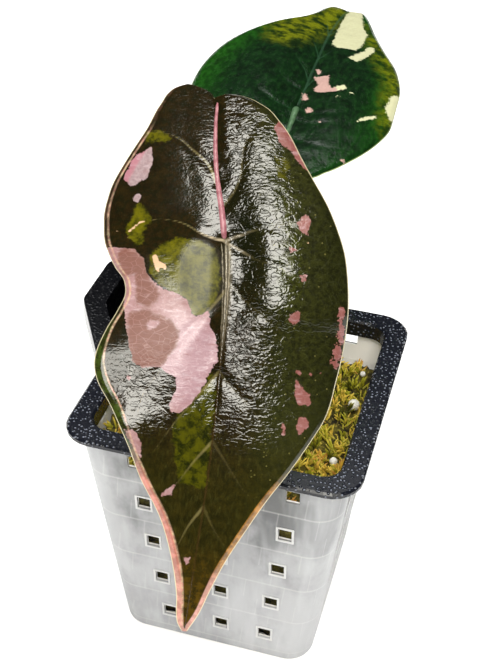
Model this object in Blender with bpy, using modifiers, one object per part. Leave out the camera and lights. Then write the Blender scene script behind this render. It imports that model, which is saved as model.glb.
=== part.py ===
"""Potted alocasia: two shield-shaped leaves on a short stem in a square clear pot with a black collar.

Units are metres, +Z is up, the origin is the middle of the pot's flat base and -Y is the front.
"""
import math
import random

import bmesh
import bpy
import numpy as np
from mathutils import Matrix, Vector

MM = 0.001
CLEARANCE = 0.3 * MM

# Pot: a tapered square cup with rounded corners
POT_HEIGHT = 99.3 * MM
POT_BASE_HALF = 36.1 * MM
POT_TAPER = 0.1009
POT_CORNER = 9.5 * MM
POT_BASE_ROUND = 1.5 * MM
POT_WALL = 1.3 * MM
CORNER_STEPS = 6

# Windows in the pot's walls, rows from the top down, columns drawing together with the taper
WINDOW_TOP_ROW = 92.6 * MM
WINDOW_PITCH = 19.6 * MM
WINDOW_ROWS = 5
WINDOW_WIDTH = 4.6 * MM
WINDOW_HEIGHT = 5.6 * MM
WINDOW_COLUMN = 16.4 * MM
WINDOW_SPREAD = 6.9
WINDOW_SHIFT = 1.9 * MM
WINDOW_MIDDLE_SHIFT = 1.6 * MM
DRAIN_RADIUS = 3.5 * MM
DRAIN_OFFSET = 17.0 * MM

# Collar: a flat band that sits on the pot's lip, with a flange down inside the pot
RIM_HEIGHT = 101.8 * MM
COLLAR_HALF = 50.0 * MM
COLLAR_CORNER = 10.7 * MM
COLLAR_CORNER_FADE = 0.55
COLLAR_BAND = 8.0 * MM
COLLAR_PLATE = RIM_HEIGHT - POT_HEIGHT - CLEARANCE
COLLAR_FLANGE = 6.5 * MM
COLLAR_WALL = 1.5 * MM
COLLAR_EDGE_ROUND = 0.7 * MM

# Side pocket of the collar, at its left rear
POCKET_FRONT = -12.0 * MM
POCKET_REAR = 49.5 * MM
POCKET_OUTER = -69.0 * MM
POCKET_SWEEP = math.radians(30.7)
POCKET_RISE = 0.18
POCKET_SKIRT = 4.0 * MM
POCKET_FLARE = 0.3 * MM
POCKET_DEPTH = 13.0 * MM
POCKET_ROUND = 8.0 * MM
POCKET_REAR_ROUND = 5.0 * MM
POCKET_LEAST_ROUND = 1.5 * MM
POCKET_ROOT = 0.9 * MM

# Moss filling
MOSS_LEVEL = 78.5 * MM
MOSS_BANK = 9.0 * MM
MOSS_BANK_START = 18.0 * MM
MOSS_BANK_RUN = 22.0 * MM
MOSS_REAR_BANK = 4.0 * MM
MOSS_REAR_START = 20.0 * MM
MOSS_REAR_RUN = 20.0 * MM
MOSS_LUMP = 1.6 * MM
MOSS_LUMPS = 46
MOSS_CELLS = 26
MOSS_GAP = 0.6 * MM

# Stem base and leaf stalks
CROWN_PLACE = (0.0 * MM, 9.0 * MM)
CROWN_FOOT = 58.0 * MM
CROWN_HEIGHT = 36.0 * MM
CROWN_FOOT_RADIUS = 7.5 * MM
CROWN_TOP_RADIUS = 5.6 * MM
CROWN_SOCKET = 7.0 * MM
STALK_FOOT_RADIUS = 2.3 * MM
STALK_TOP_RADIUS = 1.5 * MM
STALK_POINTS = 15
STALK_GAP = 0.45 * MM
STALK_FOOT_SPREAD = 2.8 * MM
STALK_FOOT_SIDE = 0.5 * MM
FRONT_STALK = {
    "lean": (-0.06, -0.10, 1.0), "arrival": 0.15, "first_reach": 45.0 * MM, "last_reach": 30.0 * MM,
}
BACK_STALK = {
    "lean": (0.04, 0.18, 1.0), "arrival": 0.35, "first_reach": 40.0 * MM, "last_reach": 34.0 * MM,
}

# Leaf blades
BLADE_THICKNESS = 0.8 * MM
BLADE_ROWS = 36
BLADE_COLUMNS = 8
BLADE_REFERENCE = 35.0 * MM
BLADE_RISE = 3.2 * MM
BLADE_DROOP = 2.0 * MM
BLADE_QUILT = 0.7 * MM
BLADE_QUILT_START = 8.0 * MM
BLADE_DEEPEST = 10.0 * MM
BLADE_FLATTENS = 140.0 * MM
BLADE_LEAST_DEPTH = 0.15
BLADE_END = 0.4 * MM
LATERAL_PITCH = 21.0 * MM
LATERAL_SLANT = 0.75
MARGIN_FOLD = 1.6 * MM

# Front blade. Lengths run along the midrib from the leaf stalk, the tip being positive, in mm.
# The right side is the one at the right when the tip hangs down and the upper face is seen.
FRONT_LEAF = {
    "midline": {
        -50: (-15.4, 8.0, 206.0), -20: (-7.7, -12.8, 185.6), 0: (-1.2, -25.1, 171.2),
        40: (4.8, -49.2, 139.9), 80: (7.1, -71.3, 106.7), 121: (7.4, -91.7, 71.2),
    },
    "toward_right": (0.961, 0.275, 0.028),
    "notch": -43.8,
    "tip": 119.3,
    "left": {
        "lobe": (8.0, -49.1),
        "half_width": {
            -49.1: 8.0, -48.2: 11.8, -42.7: 16.6, -35.7: 20.6, -26.9: 27.2, -20: 32.4, -13: 35.6,
            -6: 36.2, 0: 35.4, 7.8: 33.0, 13: 30.2, 17.2: 29.7, 23.5: 31.8, 29.7: 34.6, 40.5: 37.0,
            45.6: 35.4, 51.5: 31.5, 63.5: 24.6, 73.3: 20.0, 84.8: 12.4, 97.3: 7.0, 108: 4.0, 116.5: 2.6,
            119.3: 0.8,
        },
    },
    "right": {
        "lobe": (5.0, -44.7),
        "half_width": {
            -44.7: 5.0, -43.9: 8.2, -40.8: 14.6, -35.3: 19.8, -23: 25.7, -12.7: 29.0, -4.9: 32.0,
            7: 35.8, 21.6: 36.8, 30.4: 36.3, 39.3: 35.0, 50.7: 32.4, 57.1: 29.0, 65.4: 24.3,
            76: 18.0, 86: 13.2, 95.9: 8.9, 105.3: 5.8, 113.5: 3.4, 119.3: 0.8,
        },
    },
}

# Back blade, nearly level, its tip pointing away and hooking down
BACK_LEAF = {
    "midline": {
        -50: (1.2, 13.6, 172.0), -20: (-0.5, 43.6, 173.6), 0: (-1.6, 63.5, 174.2), 40: (-4.0, 103.4, 174.4),
        80: (-6.0, 143.3, 172.3), 102: (-5.2, 165.1, 170.4), 113: (-4.2, 173.6, 165.0),
        121: (-3.8, 176.8, 157.8),
    },
    "toward_right": (-0.990, -0.057, 0.124),
    "notch": -42.0,
    "tip": 119.5,
    "left": {
        "lobe": (7.5, -47.5),
        "half_width": {
            -47.5: 7.5, -46.4: 11.6, -40: 17.5, -29.6: 24.0, -13: 31.0, 3: 34.0, 25: 34.0, 47: 30.0,
            61: 24.2, 85: 15.4, 99: 9.8, 107: 6.6, 114: 3.2, 119.5: 0.8,
        },
    },
    "right": {
        "lobe": (7.0, -46.0),
        "half_width": {
            -46: 7.0, -44.9: 11.5, -38: 19.5, -28: 28.5, -16: 35.0, -5.5: 37.7, 11: 39.2, 30: 37.1,
            51: 30.4, 68: 21.8, 81.5: 13.2, 90: 9.8, 99: 8.2, 107: 6.4, 114: 3.2, 119.5: 0.8,
        },
    },
}

# Perlite grains: where each lies on the moss, and its radius, in mm
PERLITE = ((35.6, 20.7, 2.3), (35.0, -10.5, 1.5), (35.6, 36.0, 1.1), (-30.0, -31.0, 1.7),
           (-14.0, -34.5, 2.0), (14.0, 34.0, 2.1), (-24.0, 30.0, 1.8))
GRAIN_LIFT = 0.35
GRAIN_GAP = 0.4 * MM


def clear_scene():
    for thing in list(bpy.data.objects):
        bpy.data.objects.remove(thing)


def new_collection(name):
    collection = bpy.data.collections.new(name)
    bpy.context.scene.collection.children.link(collection)
    return collection


def add_object(name, mesh, collection):
    thing = bpy.data.objects.new(name, mesh)
    collection.objects.link(thing)
    return thing


def material(name, colour, roughness, metallic=0.0, alpha=1.0):
    finish = bpy.data.materials.new(name)
    finish.use_nodes = True
    shader = finish.node_tree.nodes["Principled BSDF"]
    shader.inputs["Base Color"].default_value = (*colour, 1.0)
    shader.inputs["Roughness"].default_value = roughness
    shader.inputs["Metallic"].default_value = metallic
    shader.inputs["Alpha"].default_value = alpha
    return finish


def mesh_from(builder, name):
    mesh = bpy.data.meshes.new(name)
    builder.to_mesh(mesh)
    builder.free()
    return mesh


def rounded_square(half, corner, height):
    """Points round a square with rounded corners, anticlockwise seen from above."""
    points = []
    for quarter in range(4):
        middle = math.radians(45 + 90 * quarter)
        reach = (half - corner) * math.sqrt(2)
        centre = Vector((reach * math.cos(middle), reach * math.sin(middle), height))
        for step in range(CORNER_STEPS + 1):
            angle = middle + math.radians(-45 + 90 * step / CORNER_STEPS)
            points.append(centre + Vector((math.cos(angle), math.sin(angle), 0)) * corner)
    return points


def loft(builder, rings, close_rings=False):
    """Bridge each ring of points to the next one, and return the rings' vertices."""
    rows = [[builder.verts.new(point) for point in ring] for ring in rings]
    pairs = list(zip(rows, rows[1:]))
    if close_rings:
        pairs.append((rows[-1], rows[0]))
    for lower, upper in pairs:
        for index in range(len(lower)):
            following = (index + 1) % len(lower)
            builder.faces.new((lower[index], lower[following], upper[following], upper[index]))
    return rows


def prism(outline_low, outline_high):
    """A closed solid between two outlines with the same number of points."""
    builder = bmesh.new()
    rows = loft(builder, [outline_low, outline_high])
    builder.faces.new(list(reversed(rows[0])))
    builder.faces.new(rows[1])
    bmesh.ops.recalc_face_normals(builder, faces=builder.faces)
    return builder


def cylinder(radius_low, radius_high, low, high, place, segments):
    builder = bmesh.new()
    middle = Matrix.Translation((place[0], place[1], (low + high) / 2))
    bmesh.ops.create_cone(builder, cap_ends=True, segments=segments, radius1=radius_low,
                          radius2=radius_high, depth=high - low, matrix=middle)
    return builder


def guide(thing):
    thing.hide_render = True
    thing.display_type = "WIRE"
    return thing


def add_cutter(name, builder, cutters):
    return guide(add_object(name, mesh_from(builder, name), cutters))


def boolean(target, tool, operation):
    modifier = target.modifiers.new(tool.name, "BOOLEAN")
    modifier.operation = operation
    modifier.object = tool
    modifier.solver = "EXACT"


def smooth_between(stations, position):
    """Value at a position on a smooth curve through the stations, as a cubic between each pair."""
    places = sorted(stations)
    values = [np.asarray(stations[place], dtype=float) for place in places]
    gaps = [b - a for a, b in zip(places, places[1:])]
    slopes = [(b - a) / gap for a, b, gap in zip(values, values[1:], gaps)]
    tangents = [slopes[0]]
    for index in range(1, len(slopes)):
        share = gaps[index] / (gaps[index - 1] + gaps[index])
        tangent = slopes[index - 1] * share + slopes[index] * (1 - share)
        steepest = 2 * np.minimum(abs(slopes[index - 1]), abs(slopes[index]))
        tangents.append(np.clip(tangent, -steepest, steepest))
    tangents.append(slopes[-1])
    position = min(max(position, places[0]), places[-1])
    index = min(max(np.searchsorted(places, position) - 1, 0), len(gaps) - 1)
    gap = gaps[index]
    t = (position - places[index]) / gap
    return ((2 * t**3 - 3 * t**2 + 1) * values[index] + (t**3 - 2 * t**2 + t) * gap * tangents[index]
            + (3 * t**2 - 2 * t**3) * values[index + 1] + (t**3 - t**2) * gap * tangents[index + 1])


def pot_half(height):
    return POT_BASE_HALF + POT_TAPER * height


def build_pot(parts, cutters):
    rings = []
    for step in range(4):
        angle = math.radians(90 * step / 3)
        height = POT_BASE_ROUND * (1 - math.cos(angle))
        inset = POT_BASE_ROUND * (1 - math.sin(angle))
        rings.append(rounded_square(pot_half(height) - inset, POT_CORNER - inset, height))
    rings.append(rounded_square(pot_half(POT_HEIGHT), POT_CORNER, POT_HEIGHT))
    builder = bmesh.new()
    rows = loft(builder, rings)
    builder.faces.new(list(reversed(rows[0])))
    bmesh.ops.recalc_face_normals(builder, faces=builder.faces)
    pot = add_object("pot_body", mesh_from(builder, "pot_body"), parts)
    pot.data.materials.append(material("clear_plastic", (0.80, 0.80, 0.79), 0.25, alpha=0.45))
    wall = pot.modifiers.new("wall", "SOLIDIFY")
    wall.thickness = POT_WALL
    wall.offset = -1.0
    wall.use_even_offset = True
    for name, turn in (("windows_front_back", 0.0), ("windows_left_right", 90.0)):
        boolean(pot, add_cutter(name, window_bars(turn), cutters), "DIFFERENCE")
    boolean(pot, add_cutter("drains", drain_pegs(), cutters), "DIFFERENCE")
    return pot


def window_bars(turn):
    """Square bars right through the pot, one for each window and the one opposite."""
    bars = bmesh.new()
    for row in range(WINDOW_ROWS):
        height = WINDOW_TOP_ROW - row * WINDOW_PITCH
        spread = WINDOW_COLUMN * (1 + WINDOW_SPREAD * height)
        for offset in (-spread, WINDOW_MIDDLE_SHIFT, spread):
            centre = Vector((WINDOW_SHIFT + offset, 0, height))
            size = (WINDOW_WIDTH, 4 * POT_BASE_HALF, WINDOW_HEIGHT)
            placing = Matrix.Rotation(math.radians(turn), 4, "Z") @ Matrix.Translation(centre)
            bmesh.ops.create_cube(bars, size=1.0, matrix=placing @ Matrix.Diagonal((*size, 1.0)))
    return bars


def drain_pegs():
    pegs = bmesh.new()
    for across in (-1, 1):
        for along in (-1, 1):
            place = Matrix.Translation((across * DRAIN_OFFSET, along * DRAIN_OFFSET, 0))
            bmesh.ops.create_cone(pegs, cap_ends=True, segments=16, radius1=DRAIN_RADIUS,
                                  radius2=DRAIN_RADIUS, depth=4 * POT_WALL, matrix=place)
    return pegs


def pocket_outline(inset, height, root=COLLAR_HALF - POCKET_ROOT):
    """The side pocket's plan at a height, its free sides moved in by the inset."""
    run = Vector((-math.sin(POCKET_SWEEP), math.cos(POCKET_SWEEP)))
    inward = Vector((run.y, -run.x))
    start = Vector((-COLLAR_HALF, POCKET_FRONT)) + inward * inset
    outer = POCKET_OUTER + inset
    rear = POCKET_REAR - max(inset, 0.0)
    front_root = start + run * ((-root - start.x) / run.x)
    front_outer = start + run * ((outer - start.x) / run.x)
    flat = rounded_corner(Vector((outer, rear)), Vector((1, 0)), Vector((0, -1)),
                          max(POCKET_REAR_ROUND - inset, POCKET_LEAST_ROUND))
    flat += rounded_corner(front_outer, Vector((0, 1)), -run, max(POCKET_ROUND - inset, POCKET_LEAST_ROUND))
    flat.append(front_root)
    flat += collar_corner(root, rear)
    return [Vector((point.x, point.y, height)) for point in flat]


def collar_corner(root, rear):
    """Points along the collar's left rear corner, up to the pocket's rear side."""
    middle = COLLAR_HALF - COLLAR_CORNER
    radius = root - middle
    furthest = math.asin(min((rear - middle) / radius, 1.0))
    return [Vector((-middle - radius * math.cos(angle), middle + radius * math.sin(angle)))
            for angle in (furthest * step / CORNER_STEPS for step in range(CORNER_STEPS + 1))]


def rounded_corner(corner, before, after, radius):
    """Arc that rounds a corner between the directions to its two neighbours."""
    half_angle = before.angle(after) / 2
    centre = corner + (before + after).normalized() * (radius / math.sin(half_angle))
    first = corner + before * (radius / math.tan(half_angle)) - centre
    last = corner + after * (radius / math.tan(half_angle)) - centre
    sweep = math.atan2(first.cross(last), first.dot(last))
    return [centre + Matrix.Rotation(sweep * step / CORNER_STEPS, 2) @ first
            for step in range(CORNER_STEPS + 1)]


def raised(outline):
    """The pocket's rim climbs away from the collar."""
    return [point + Vector((0, 0, POCKET_RISE * max(-COLLAR_HALF - point.x, 0.0))) for point in outline]


def build_collar(parts, cutters):
    top = RIM_HEIGHT
    section = [
        (COLLAR_EDGE_ROUND / 2, top - COLLAR_PLATE), (0.0, top - COLLAR_PLATE + COLLAR_EDGE_ROUND / 2),
        (0.0, top - COLLAR_EDGE_ROUND), (COLLAR_EDGE_ROUND, top),
        (COLLAR_BAND - COLLAR_EDGE_ROUND, top), (COLLAR_BAND, top - COLLAR_EDGE_ROUND),
        (COLLAR_BAND, top - COLLAR_FLANGE), (COLLAR_BAND - COLLAR_WALL, top - COLLAR_FLANGE),
        (COLLAR_BAND - COLLAR_WALL, top - COLLAR_PLATE),
    ]
    builder = bmesh.new()
    loft(builder, [rounded_square(COLLAR_HALF - inset, COLLAR_CORNER - COLLAR_CORNER_FADE * inset, height)
                   for inset, height in section], close_rings=True)
    bmesh.ops.recalc_face_normals(builder, faces=builder.faces)
    collar = add_object("collar", mesh_from(builder, "collar"), parts)
    collar.data.materials.append(material("black_plastic", (0.016, 0.017, 0.024), 0.45))

    band = COLLAR_BAND
    wall = COLLAR_WALL
    lip = prism(pocket_outline(-POCKET_FLARE, top - POCKET_SKIRT), raised(pocket_outline(0.0, top)))
    outer_root = COLLAR_HALF + POCKET_ROOT
    channel = prism(pocket_outline(wall - POCKET_FLARE, top - 2 * POCKET_SKIRT, outer_root),
                    raised(pocket_outline(wall, top - COLLAR_PLATE, outer_root)))
    cup = prism(pocket_outline(band - wall, top - POCKET_DEPTH),
                raised(pocket_outline(band - wall, top - COLLAR_EDGE_ROUND)))
    hollow = prism(pocket_outline(band, top - POCKET_DEPTH + wall, outer_root),
                   raised(pocket_outline(band, top + POCKET_DEPTH, outer_root)))
    lip = add_cutter("pocket_lip", lip, cutters)
    boolean(lip, add_cutter("pocket_channel", channel, cutters), "DIFFERENCE")
    boolean(collar, lip, "UNION")
    boolean(collar, add_cutter("pocket_cup", cup, cutters), "UNION")
    boolean(collar, add_cutter("pocket_hollow", hollow, cutters), "DIFFERENCE")
    return collar


def ease(share):
    """Smooth step from 0 to 1."""
    share = min(max(share, 0.0), 1.0)
    return share * share * (3 - 2 * share)


def moss_height(x, y, lumps):
    """Lumpy surface, banked up against the left and rear walls."""
    left = ease((-x - MOSS_BANK_START) / MOSS_BANK_RUN)
    rear = ease((y - MOSS_REAR_START) / MOSS_REAR_RUN)
    height = MOSS_LEVEL + MOSS_BANK * left + MOSS_REAR_BANK * rear * (1 - left)
    for lump_x, lump_y, reach, amount in lumps:
        away = ((x - lump_x) ** 2 + (y - lump_y) ** 2) / reach**2
        height += amount * math.exp(-away)
    return height


def moss_lumps():
    draw = random.Random(11)
    span = pot_half(MOSS_LEVEL)
    return [(draw.uniform(-span, span), draw.uniform(-span, span), draw.uniform(3.5, 7.5) * MM,
             draw.uniform(-0.6, 1.0) * MOSS_LUMP) for _ in range(MOSS_LUMPS)]


def square_to_pot(u, v, half, corner):
    """A point of the unit square carried into the pot's rounded square."""
    reach = max(abs(u), abs(v))
    if reach == 0.0:
        return 0.0, 0.0
    side_u = u / reach
    side_v = v / reach
    x = side_u * half
    y = side_v * half
    straight = half - corner
    if abs(x) > straight and abs(y) > straight:
        dx = abs(x) - straight
        dy = abs(y) - straight
        shrink = max(dx, dy) / math.hypot(dx, dy)
        x = math.copysign(straight + dx * shrink, x)
        y = math.copysign(straight + dy * shrink, y)
    return x * reach, y * reach


def build_moss(parts, cutters):
    lumps = moss_lumps()
    floor = POT_WALL + CLEARANCE
    top_half = pot_half(MOSS_LEVEL) - POT_WALL - MOSS_GAP
    inner_corner = POT_CORNER - POT_WALL
    builder = bmesh.new()
    bmesh.ops.create_grid(builder, x_segments=MOSS_CELLS, y_segments=MOSS_CELLS, size=1.0)
    for vertex in builder.verts:
        x, y = square_to_pot(vertex.co.x, vertex.co.y, top_half, inner_corner)
        height = moss_height(x, y, lumps)
        widen = 1 + (height - MOSS_LEVEL) * POT_TAPER / top_half
        vertex.co = (x * widen, y * widen, height)
    edges = [edge for edge in builder.edges if edge.is_boundary]
    side = bmesh.ops.extrude_edge_only(builder, edges=edges)["geom"]
    low = [part for part in side if isinstance(part, bmesh.types.BMVert)]
    low_half = pot_half(floor) - POT_WALL - MOSS_GAP - POT_BASE_ROUND / 2
    for vertex in low:
        vertex.co.x *= low_half / top_half
        vertex.co.y *= low_half / top_half
        vertex.co.z = floor
    foot = [part for part in side if isinstance(part, bmesh.types.BMEdge)]
    bmesh.ops.contextual_create(builder, geom=foot)
    bmesh.ops.recalc_face_normals(builder, faces=builder.faces)
    moss = add_object("sphagnum_moss", mesh_from(builder, "sphagnum_moss"), parts)
    moss.data.materials.append(material("moss", (0.16, 0.14, 0.03), 0.9))
    hole = cylinder(CROWN_FOOT_RADIUS + CLEARANCE, CROWN_FOOT_RADIUS + CLEARANCE, CROWN_FOOT - CLEARANCE,
                    POT_HEIGHT, CROWN_PLACE, 20)
    boolean(moss, add_cutter("crown_hole", hole, cutters), "DIFFERENCE")
    dimples = bmesh.new()
    finish = material("perlite", (0.85, 0.84, 0.80), 0.8)
    for index, (x, y, radius) in enumerate(PERLITE, start=1):
        radius *= MM
        place = Vector((x * MM, y * MM, moss_height(x * MM, y * MM, lumps) + GRAIN_LIFT * radius))
        add_perlite(f"perlite_{index}", place, radius, index, finish, parts)
        bmesh.ops.create_icosphere(dimples, subdivisions=2, radius=radius + GRAIN_GAP,
                                   matrix=Matrix.Translation(place))
    boolean(moss, add_cutter("perlite_dimples", dimples, cutters), "DIFFERENCE")
    return moss


def add_perlite(name, place, radius, seed, finish, parts):
    draw = random.Random(seed)
    builder = bmesh.new()
    bmesh.ops.create_icosphere(builder, subdivisions=2, radius=radius)
    for vertex in builder.verts:
        vertex.co = vertex.co * draw.uniform(0.90, 1.0) + place
    grain = add_object(name, mesh_from(builder, name), parts)
    grain.data.materials.append(finish)


def blade_frame(leaf, along):
    """Midline point, ways to the tip and to the right side, and upper normal, at a length in mm."""
    step = 0.5
    point = Vector(smooth_between(leaf["midline"], along)) * MM
    ahead = Vector(smooth_between(leaf["midline"], along + step))
    behind = Vector(smooth_between(leaf["midline"], along - step))
    tangent = (ahead - behind).normalized()
    right = Vector(leaf["toward_right"])
    right = (right - tangent * right.dot(tangent)).normalized()
    return point, tangent, right, tangent.cross(right)


def blade_height(along, across, half):
    """Height of the blade's middle surface over its midrib: sunken midrib, domed halves, quilted veins."""
    fade = max(1 - abs(along - BLADE_DEEPEST) / BLADE_FLATTENS, BLADE_LEAST_DEPTH)
    wide = across / BLADE_REFERENCE
    dome = BLADE_RISE * math.sin(math.pi * min(wide, 1.0)) - BLADE_DROOP * wide * wide
    phase = (along - LATERAL_SLANT * across) / LATERAL_PITCH
    quilt = BLADE_QUILT * abs(math.sin(math.pi * phase)) * min(across / BLADE_QUILT_START, 1.0)
    fold = max(across - (half - MARGIN_FOLD), 0.0)
    return (dome + quilt) * fade - fold


def blade_point(leaf, side, along, share):
    """A point of the blade: side -1 or 1, length in mm, share 0 at the midrib and 1 at the margin."""
    half_side = leaf["left"] if side < 0 else leaf["right"]
    lobe_across, lobe_along = half_side["lobe"]
    inner = 0.0
    if along < leaf["notch"]:
        climb = (leaf["notch"] - along) / (leaf["notch"] - lobe_along)
        inner = lobe_across * climb * climb
    outer = float(smooth_between(half_side["half_width"], along))
    outer = max(outer, inner + BLADE_END / MM)
    across = (inner + (outer - inner) * share) * MM
    point, _, right, normal = blade_frame(leaf, along)
    return point + right * (side * across) + normal * blade_height(along * MM, across, outer * MM)


def blade_length(leaf, side, share):
    """Length in mm for a share of the way from the lobe's top to the tip, closer together at both ends."""
    eased = 0.55 * share + 0.45 * (1 - math.cos(math.pi * share)) / 2
    furthest = min(leaf["left"]["lobe"][1], leaf["right"]["lobe"][1])
    along = furthest + (leaf["tip"] - furthest) * eased
    lobe = leaf["left" if side < 0 else "right"]["lobe"][1]
    notch = leaf["notch"]
    if along < notch:
        along = notch + (along - notch) * (lobe - notch) / (furthest - notch)
    return along


def build_blade(name, leaf, colour, parts):
    builder = bmesh.new()
    for side in (-1, 1):
        half = bmesh.new()
        bmesh.ops.create_grid(half, x_segments=BLADE_COLUMNS, y_segments=BLADE_ROWS, size=1.0)
        for vertex in half.verts:
            share = (vertex.co.x + 1) / 2
            along = blade_length(leaf, side, (vertex.co.y + 1) / 2)
            vertex.co = blade_point(leaf, side, along, share)
        half_mesh = mesh_from(half, name)
        builder.from_mesh(half_mesh)
        bpy.data.meshes.remove(half_mesh)
    bmesh.ops.remove_doubles(builder, verts=builder.verts, dist=0.02 * MM)
    bmesh.ops.triangulate(builder, faces=builder.faces)
    bmesh.ops.recalc_face_normals(builder, faces=builder.faces)
    upward = blade_frame(leaf, 0)[3]
    if sum(face.normal.dot(upward) for face in builder.faces) < 0:
        bmesh.ops.reverse_faces(builder, faces=builder.faces)
    blade = add_object(name, mesh_from(builder, name), parts)
    blade.data.materials.append(material(name + "_skin", colour, 0.3))
    thick = blade.modifiers.new("thickness", "SOLIDIFY")
    thick.thickness = BLADE_THICKNESS
    thick.offset = 0.0
    return blade


def stalk_route(leaf, foot, stalk):
    """Centre points of a stalk from its socket to just under the blade, on one smooth arc."""
    junction, tangent, _, normal = blade_frame(leaf, 0)
    end = junction - normal * (BLADE_THICKNESS / 2 + STALK_GAP)
    way_in = (normal + tangent * stalk["arrival"]).normalized()
    first = foot + Vector(stalk["lean"]).normalized() * stalk["first_reach"]
    second = end - way_in * stalk["last_reach"]
    points = []
    for step in range(STALK_POINTS):
        t = step / (STALK_POINTS - 1)
        points.append(foot * (1 - t) ** 3 + first * 3 * t * (1 - t) ** 2
                      + second * 3 * t**2 * (1 - t) + end * t**3)
    return points


def build_stalk(name, points, parts):
    curve = bpy.data.curves.new(name, "CURVE")
    curve.dimensions = "3D"
    curve.bevel_depth = STALK_FOOT_RADIUS
    curve.bevel_resolution = 2
    curve.use_fill_caps = True
    spline = curve.splines.new("POLY")
    spline.points.add(len(points) - 1)
    for index, point in enumerate(points):
        share = index / (len(points) - 1)
        spline.points[index].co = (*point, 1.0)
        spline.points[index].radius = 1 + (STALK_TOP_RADIUS / STALK_FOOT_RADIUS - 1) * share
    stalk = add_object(name, curve, parts)
    stalk.data.materials.append(material(name + "_skin", (0.12, 0.19, 0.05), 0.45))
    return stalk


def build_crown(stalk_feet, parts, cutters):
    builder = cylinder(CROWN_FOOT_RADIUS, CROWN_TOP_RADIUS, CROWN_FOOT, CROWN_FOOT + CROWN_HEIGHT,
                       CROWN_PLACE, 20)
    crown = add_object("crown", mesh_from(builder, "crown"), parts)
    crown.data.materials.append(material("crown_skin", (0.20, 0.13, 0.06), 0.7))
    rounding = crown.modifiers.new("rounding", "BEVEL")
    rounding.width = 1.5 * MM
    rounding.segments = 2
    sockets = bmesh.new()
    for foot, direction in stalk_feet:
        turn = Vector((0, 0, 1)).rotation_difference(Vector(direction)).to_matrix().to_4x4()
        depth = 3 * CROWN_SOCKET
        lift = Matrix.Translation((0, 0, depth / 2 - CLEARANCE))
        bmesh.ops.create_cone(sockets, cap_ends=True, segments=16, radius1=STALK_FOOT_RADIUS + CLEARANCE,
                              radius2=STALK_FOOT_RADIUS + CLEARANCE, depth=depth,
                              matrix=Matrix.Translation(foot) @ turn @ lift)
    boolean(crown, add_cutter("crown_sockets", sockets, cutters), "DIFFERENCE")
    return crown


def main():
    clear_scene()
    parts = new_collection("potted_alocasia")
    cutters = new_collection("cutters")
    build_pot(parts, cutters)
    build_collar(parts, cutters)
    build_moss(parts, cutters)

    foot_height = CROWN_FOOT + CROWN_HEIGHT - CROWN_SOCKET
    middle = Vector((*CROWN_PLACE, foot_height))
    spread = Vector((STALK_FOOT_SIDE, STALK_FOOT_SPREAD, 0))
    front_foot = middle - spread
    back_foot = middle + spread
    build_crown(((front_foot, FRONT_STALK["lean"]), (back_foot, BACK_STALK["lean"])), parts, cutters)
    build_stalk("stalk_front", stalk_route(FRONT_LEAF, front_foot, FRONT_STALK), parts)
    build_stalk("stalk_back", stalk_route(BACK_LEAF, back_foot, BACK_STALK), parts)
    build_blade("leaf_front", FRONT_LEAF, (0.035, 0.035, 0.012), parts)
    build_blade("leaf_back", BACK_LEAF, (0.02, 0.09, 0.03), parts)


main()
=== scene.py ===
"""Looks of the potted alocasia: two variegated leaves over a clear square pot with a dark pebbled collar."""
import math
import random

import bmesh
import bpy
import numpy as np
from mathutils import Matrix, Vector, noise


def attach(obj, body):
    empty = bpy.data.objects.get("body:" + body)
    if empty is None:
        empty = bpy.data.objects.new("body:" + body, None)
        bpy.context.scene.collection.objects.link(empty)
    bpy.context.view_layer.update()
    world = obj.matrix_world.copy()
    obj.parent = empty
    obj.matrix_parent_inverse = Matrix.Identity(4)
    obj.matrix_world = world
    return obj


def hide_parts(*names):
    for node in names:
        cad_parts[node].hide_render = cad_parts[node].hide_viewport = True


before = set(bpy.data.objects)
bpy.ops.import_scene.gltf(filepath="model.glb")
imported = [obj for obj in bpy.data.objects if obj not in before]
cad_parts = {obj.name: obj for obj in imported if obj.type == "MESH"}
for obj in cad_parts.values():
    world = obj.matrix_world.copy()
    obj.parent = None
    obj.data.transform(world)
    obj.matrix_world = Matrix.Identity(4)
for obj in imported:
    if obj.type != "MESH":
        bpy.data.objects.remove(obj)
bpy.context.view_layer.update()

MM = 0.001
CHART_SPAN = 100.0  # mm of a leaf in one unit of its chart
scene = bpy.context.scene

# Camera, as worked out from the pot's corners in the photograph
CAMERA_PLACE = Vector((0.083237, -0.312642, 0.359839))
CAMERA_RIGHT = Vector((0.96111, 0.27475, 0.02779))
CAMERA_UP = Vector((-0.18557, 0.56806, 0.80179))
CAMERA_LENS = 64.107

# Where the key lamps point, their colour, the surroundings' light and what the camera sees of them
LEAF_MIDDLE = (0.0, -0.025, 0.171)
WARM_LIGHT = (1.0, 0.975, 0.89)
DIM_GREY = (0.018, 0.019, 0.021, 1.0)
BACKDROP_WHITE = (0.8, 0.8, 0.8, 1.0)

# Pot sizes in mm, the same as the solid's
POT_HEIGHT = 99.3
POT_BASE_HALF = 36.1
POT_TAPER = 0.1009
POT_CORNER = 9.5
POT_WALL = 1.3
POT_BASE_ROUND = 1.5
WINDOW_TOP_ROW = 92.6
WINDOW_PITCH = 19.6
WINDOW_ROWS = 5
WINDOW_WIDTH = 4.6
WINDOW_HEIGHT = 5.6
WINDOW_COLUMN = 16.4
WINDOW_SPREAD = 0.0069
WINDOW_SHIFT = 1.9
WINDOW_MIDDLE_SHIFT = 1.6
DRAIN_RADIUS = 3.5
DRAIN_OFFSET = 17.0

# Moulded frame round a window: its width, its depth and the round of its edges, in mm
FRAME_BAND = 0.8
FRAME_DEPTH = 0.45
FRAME_ROUND = 0.15

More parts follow.
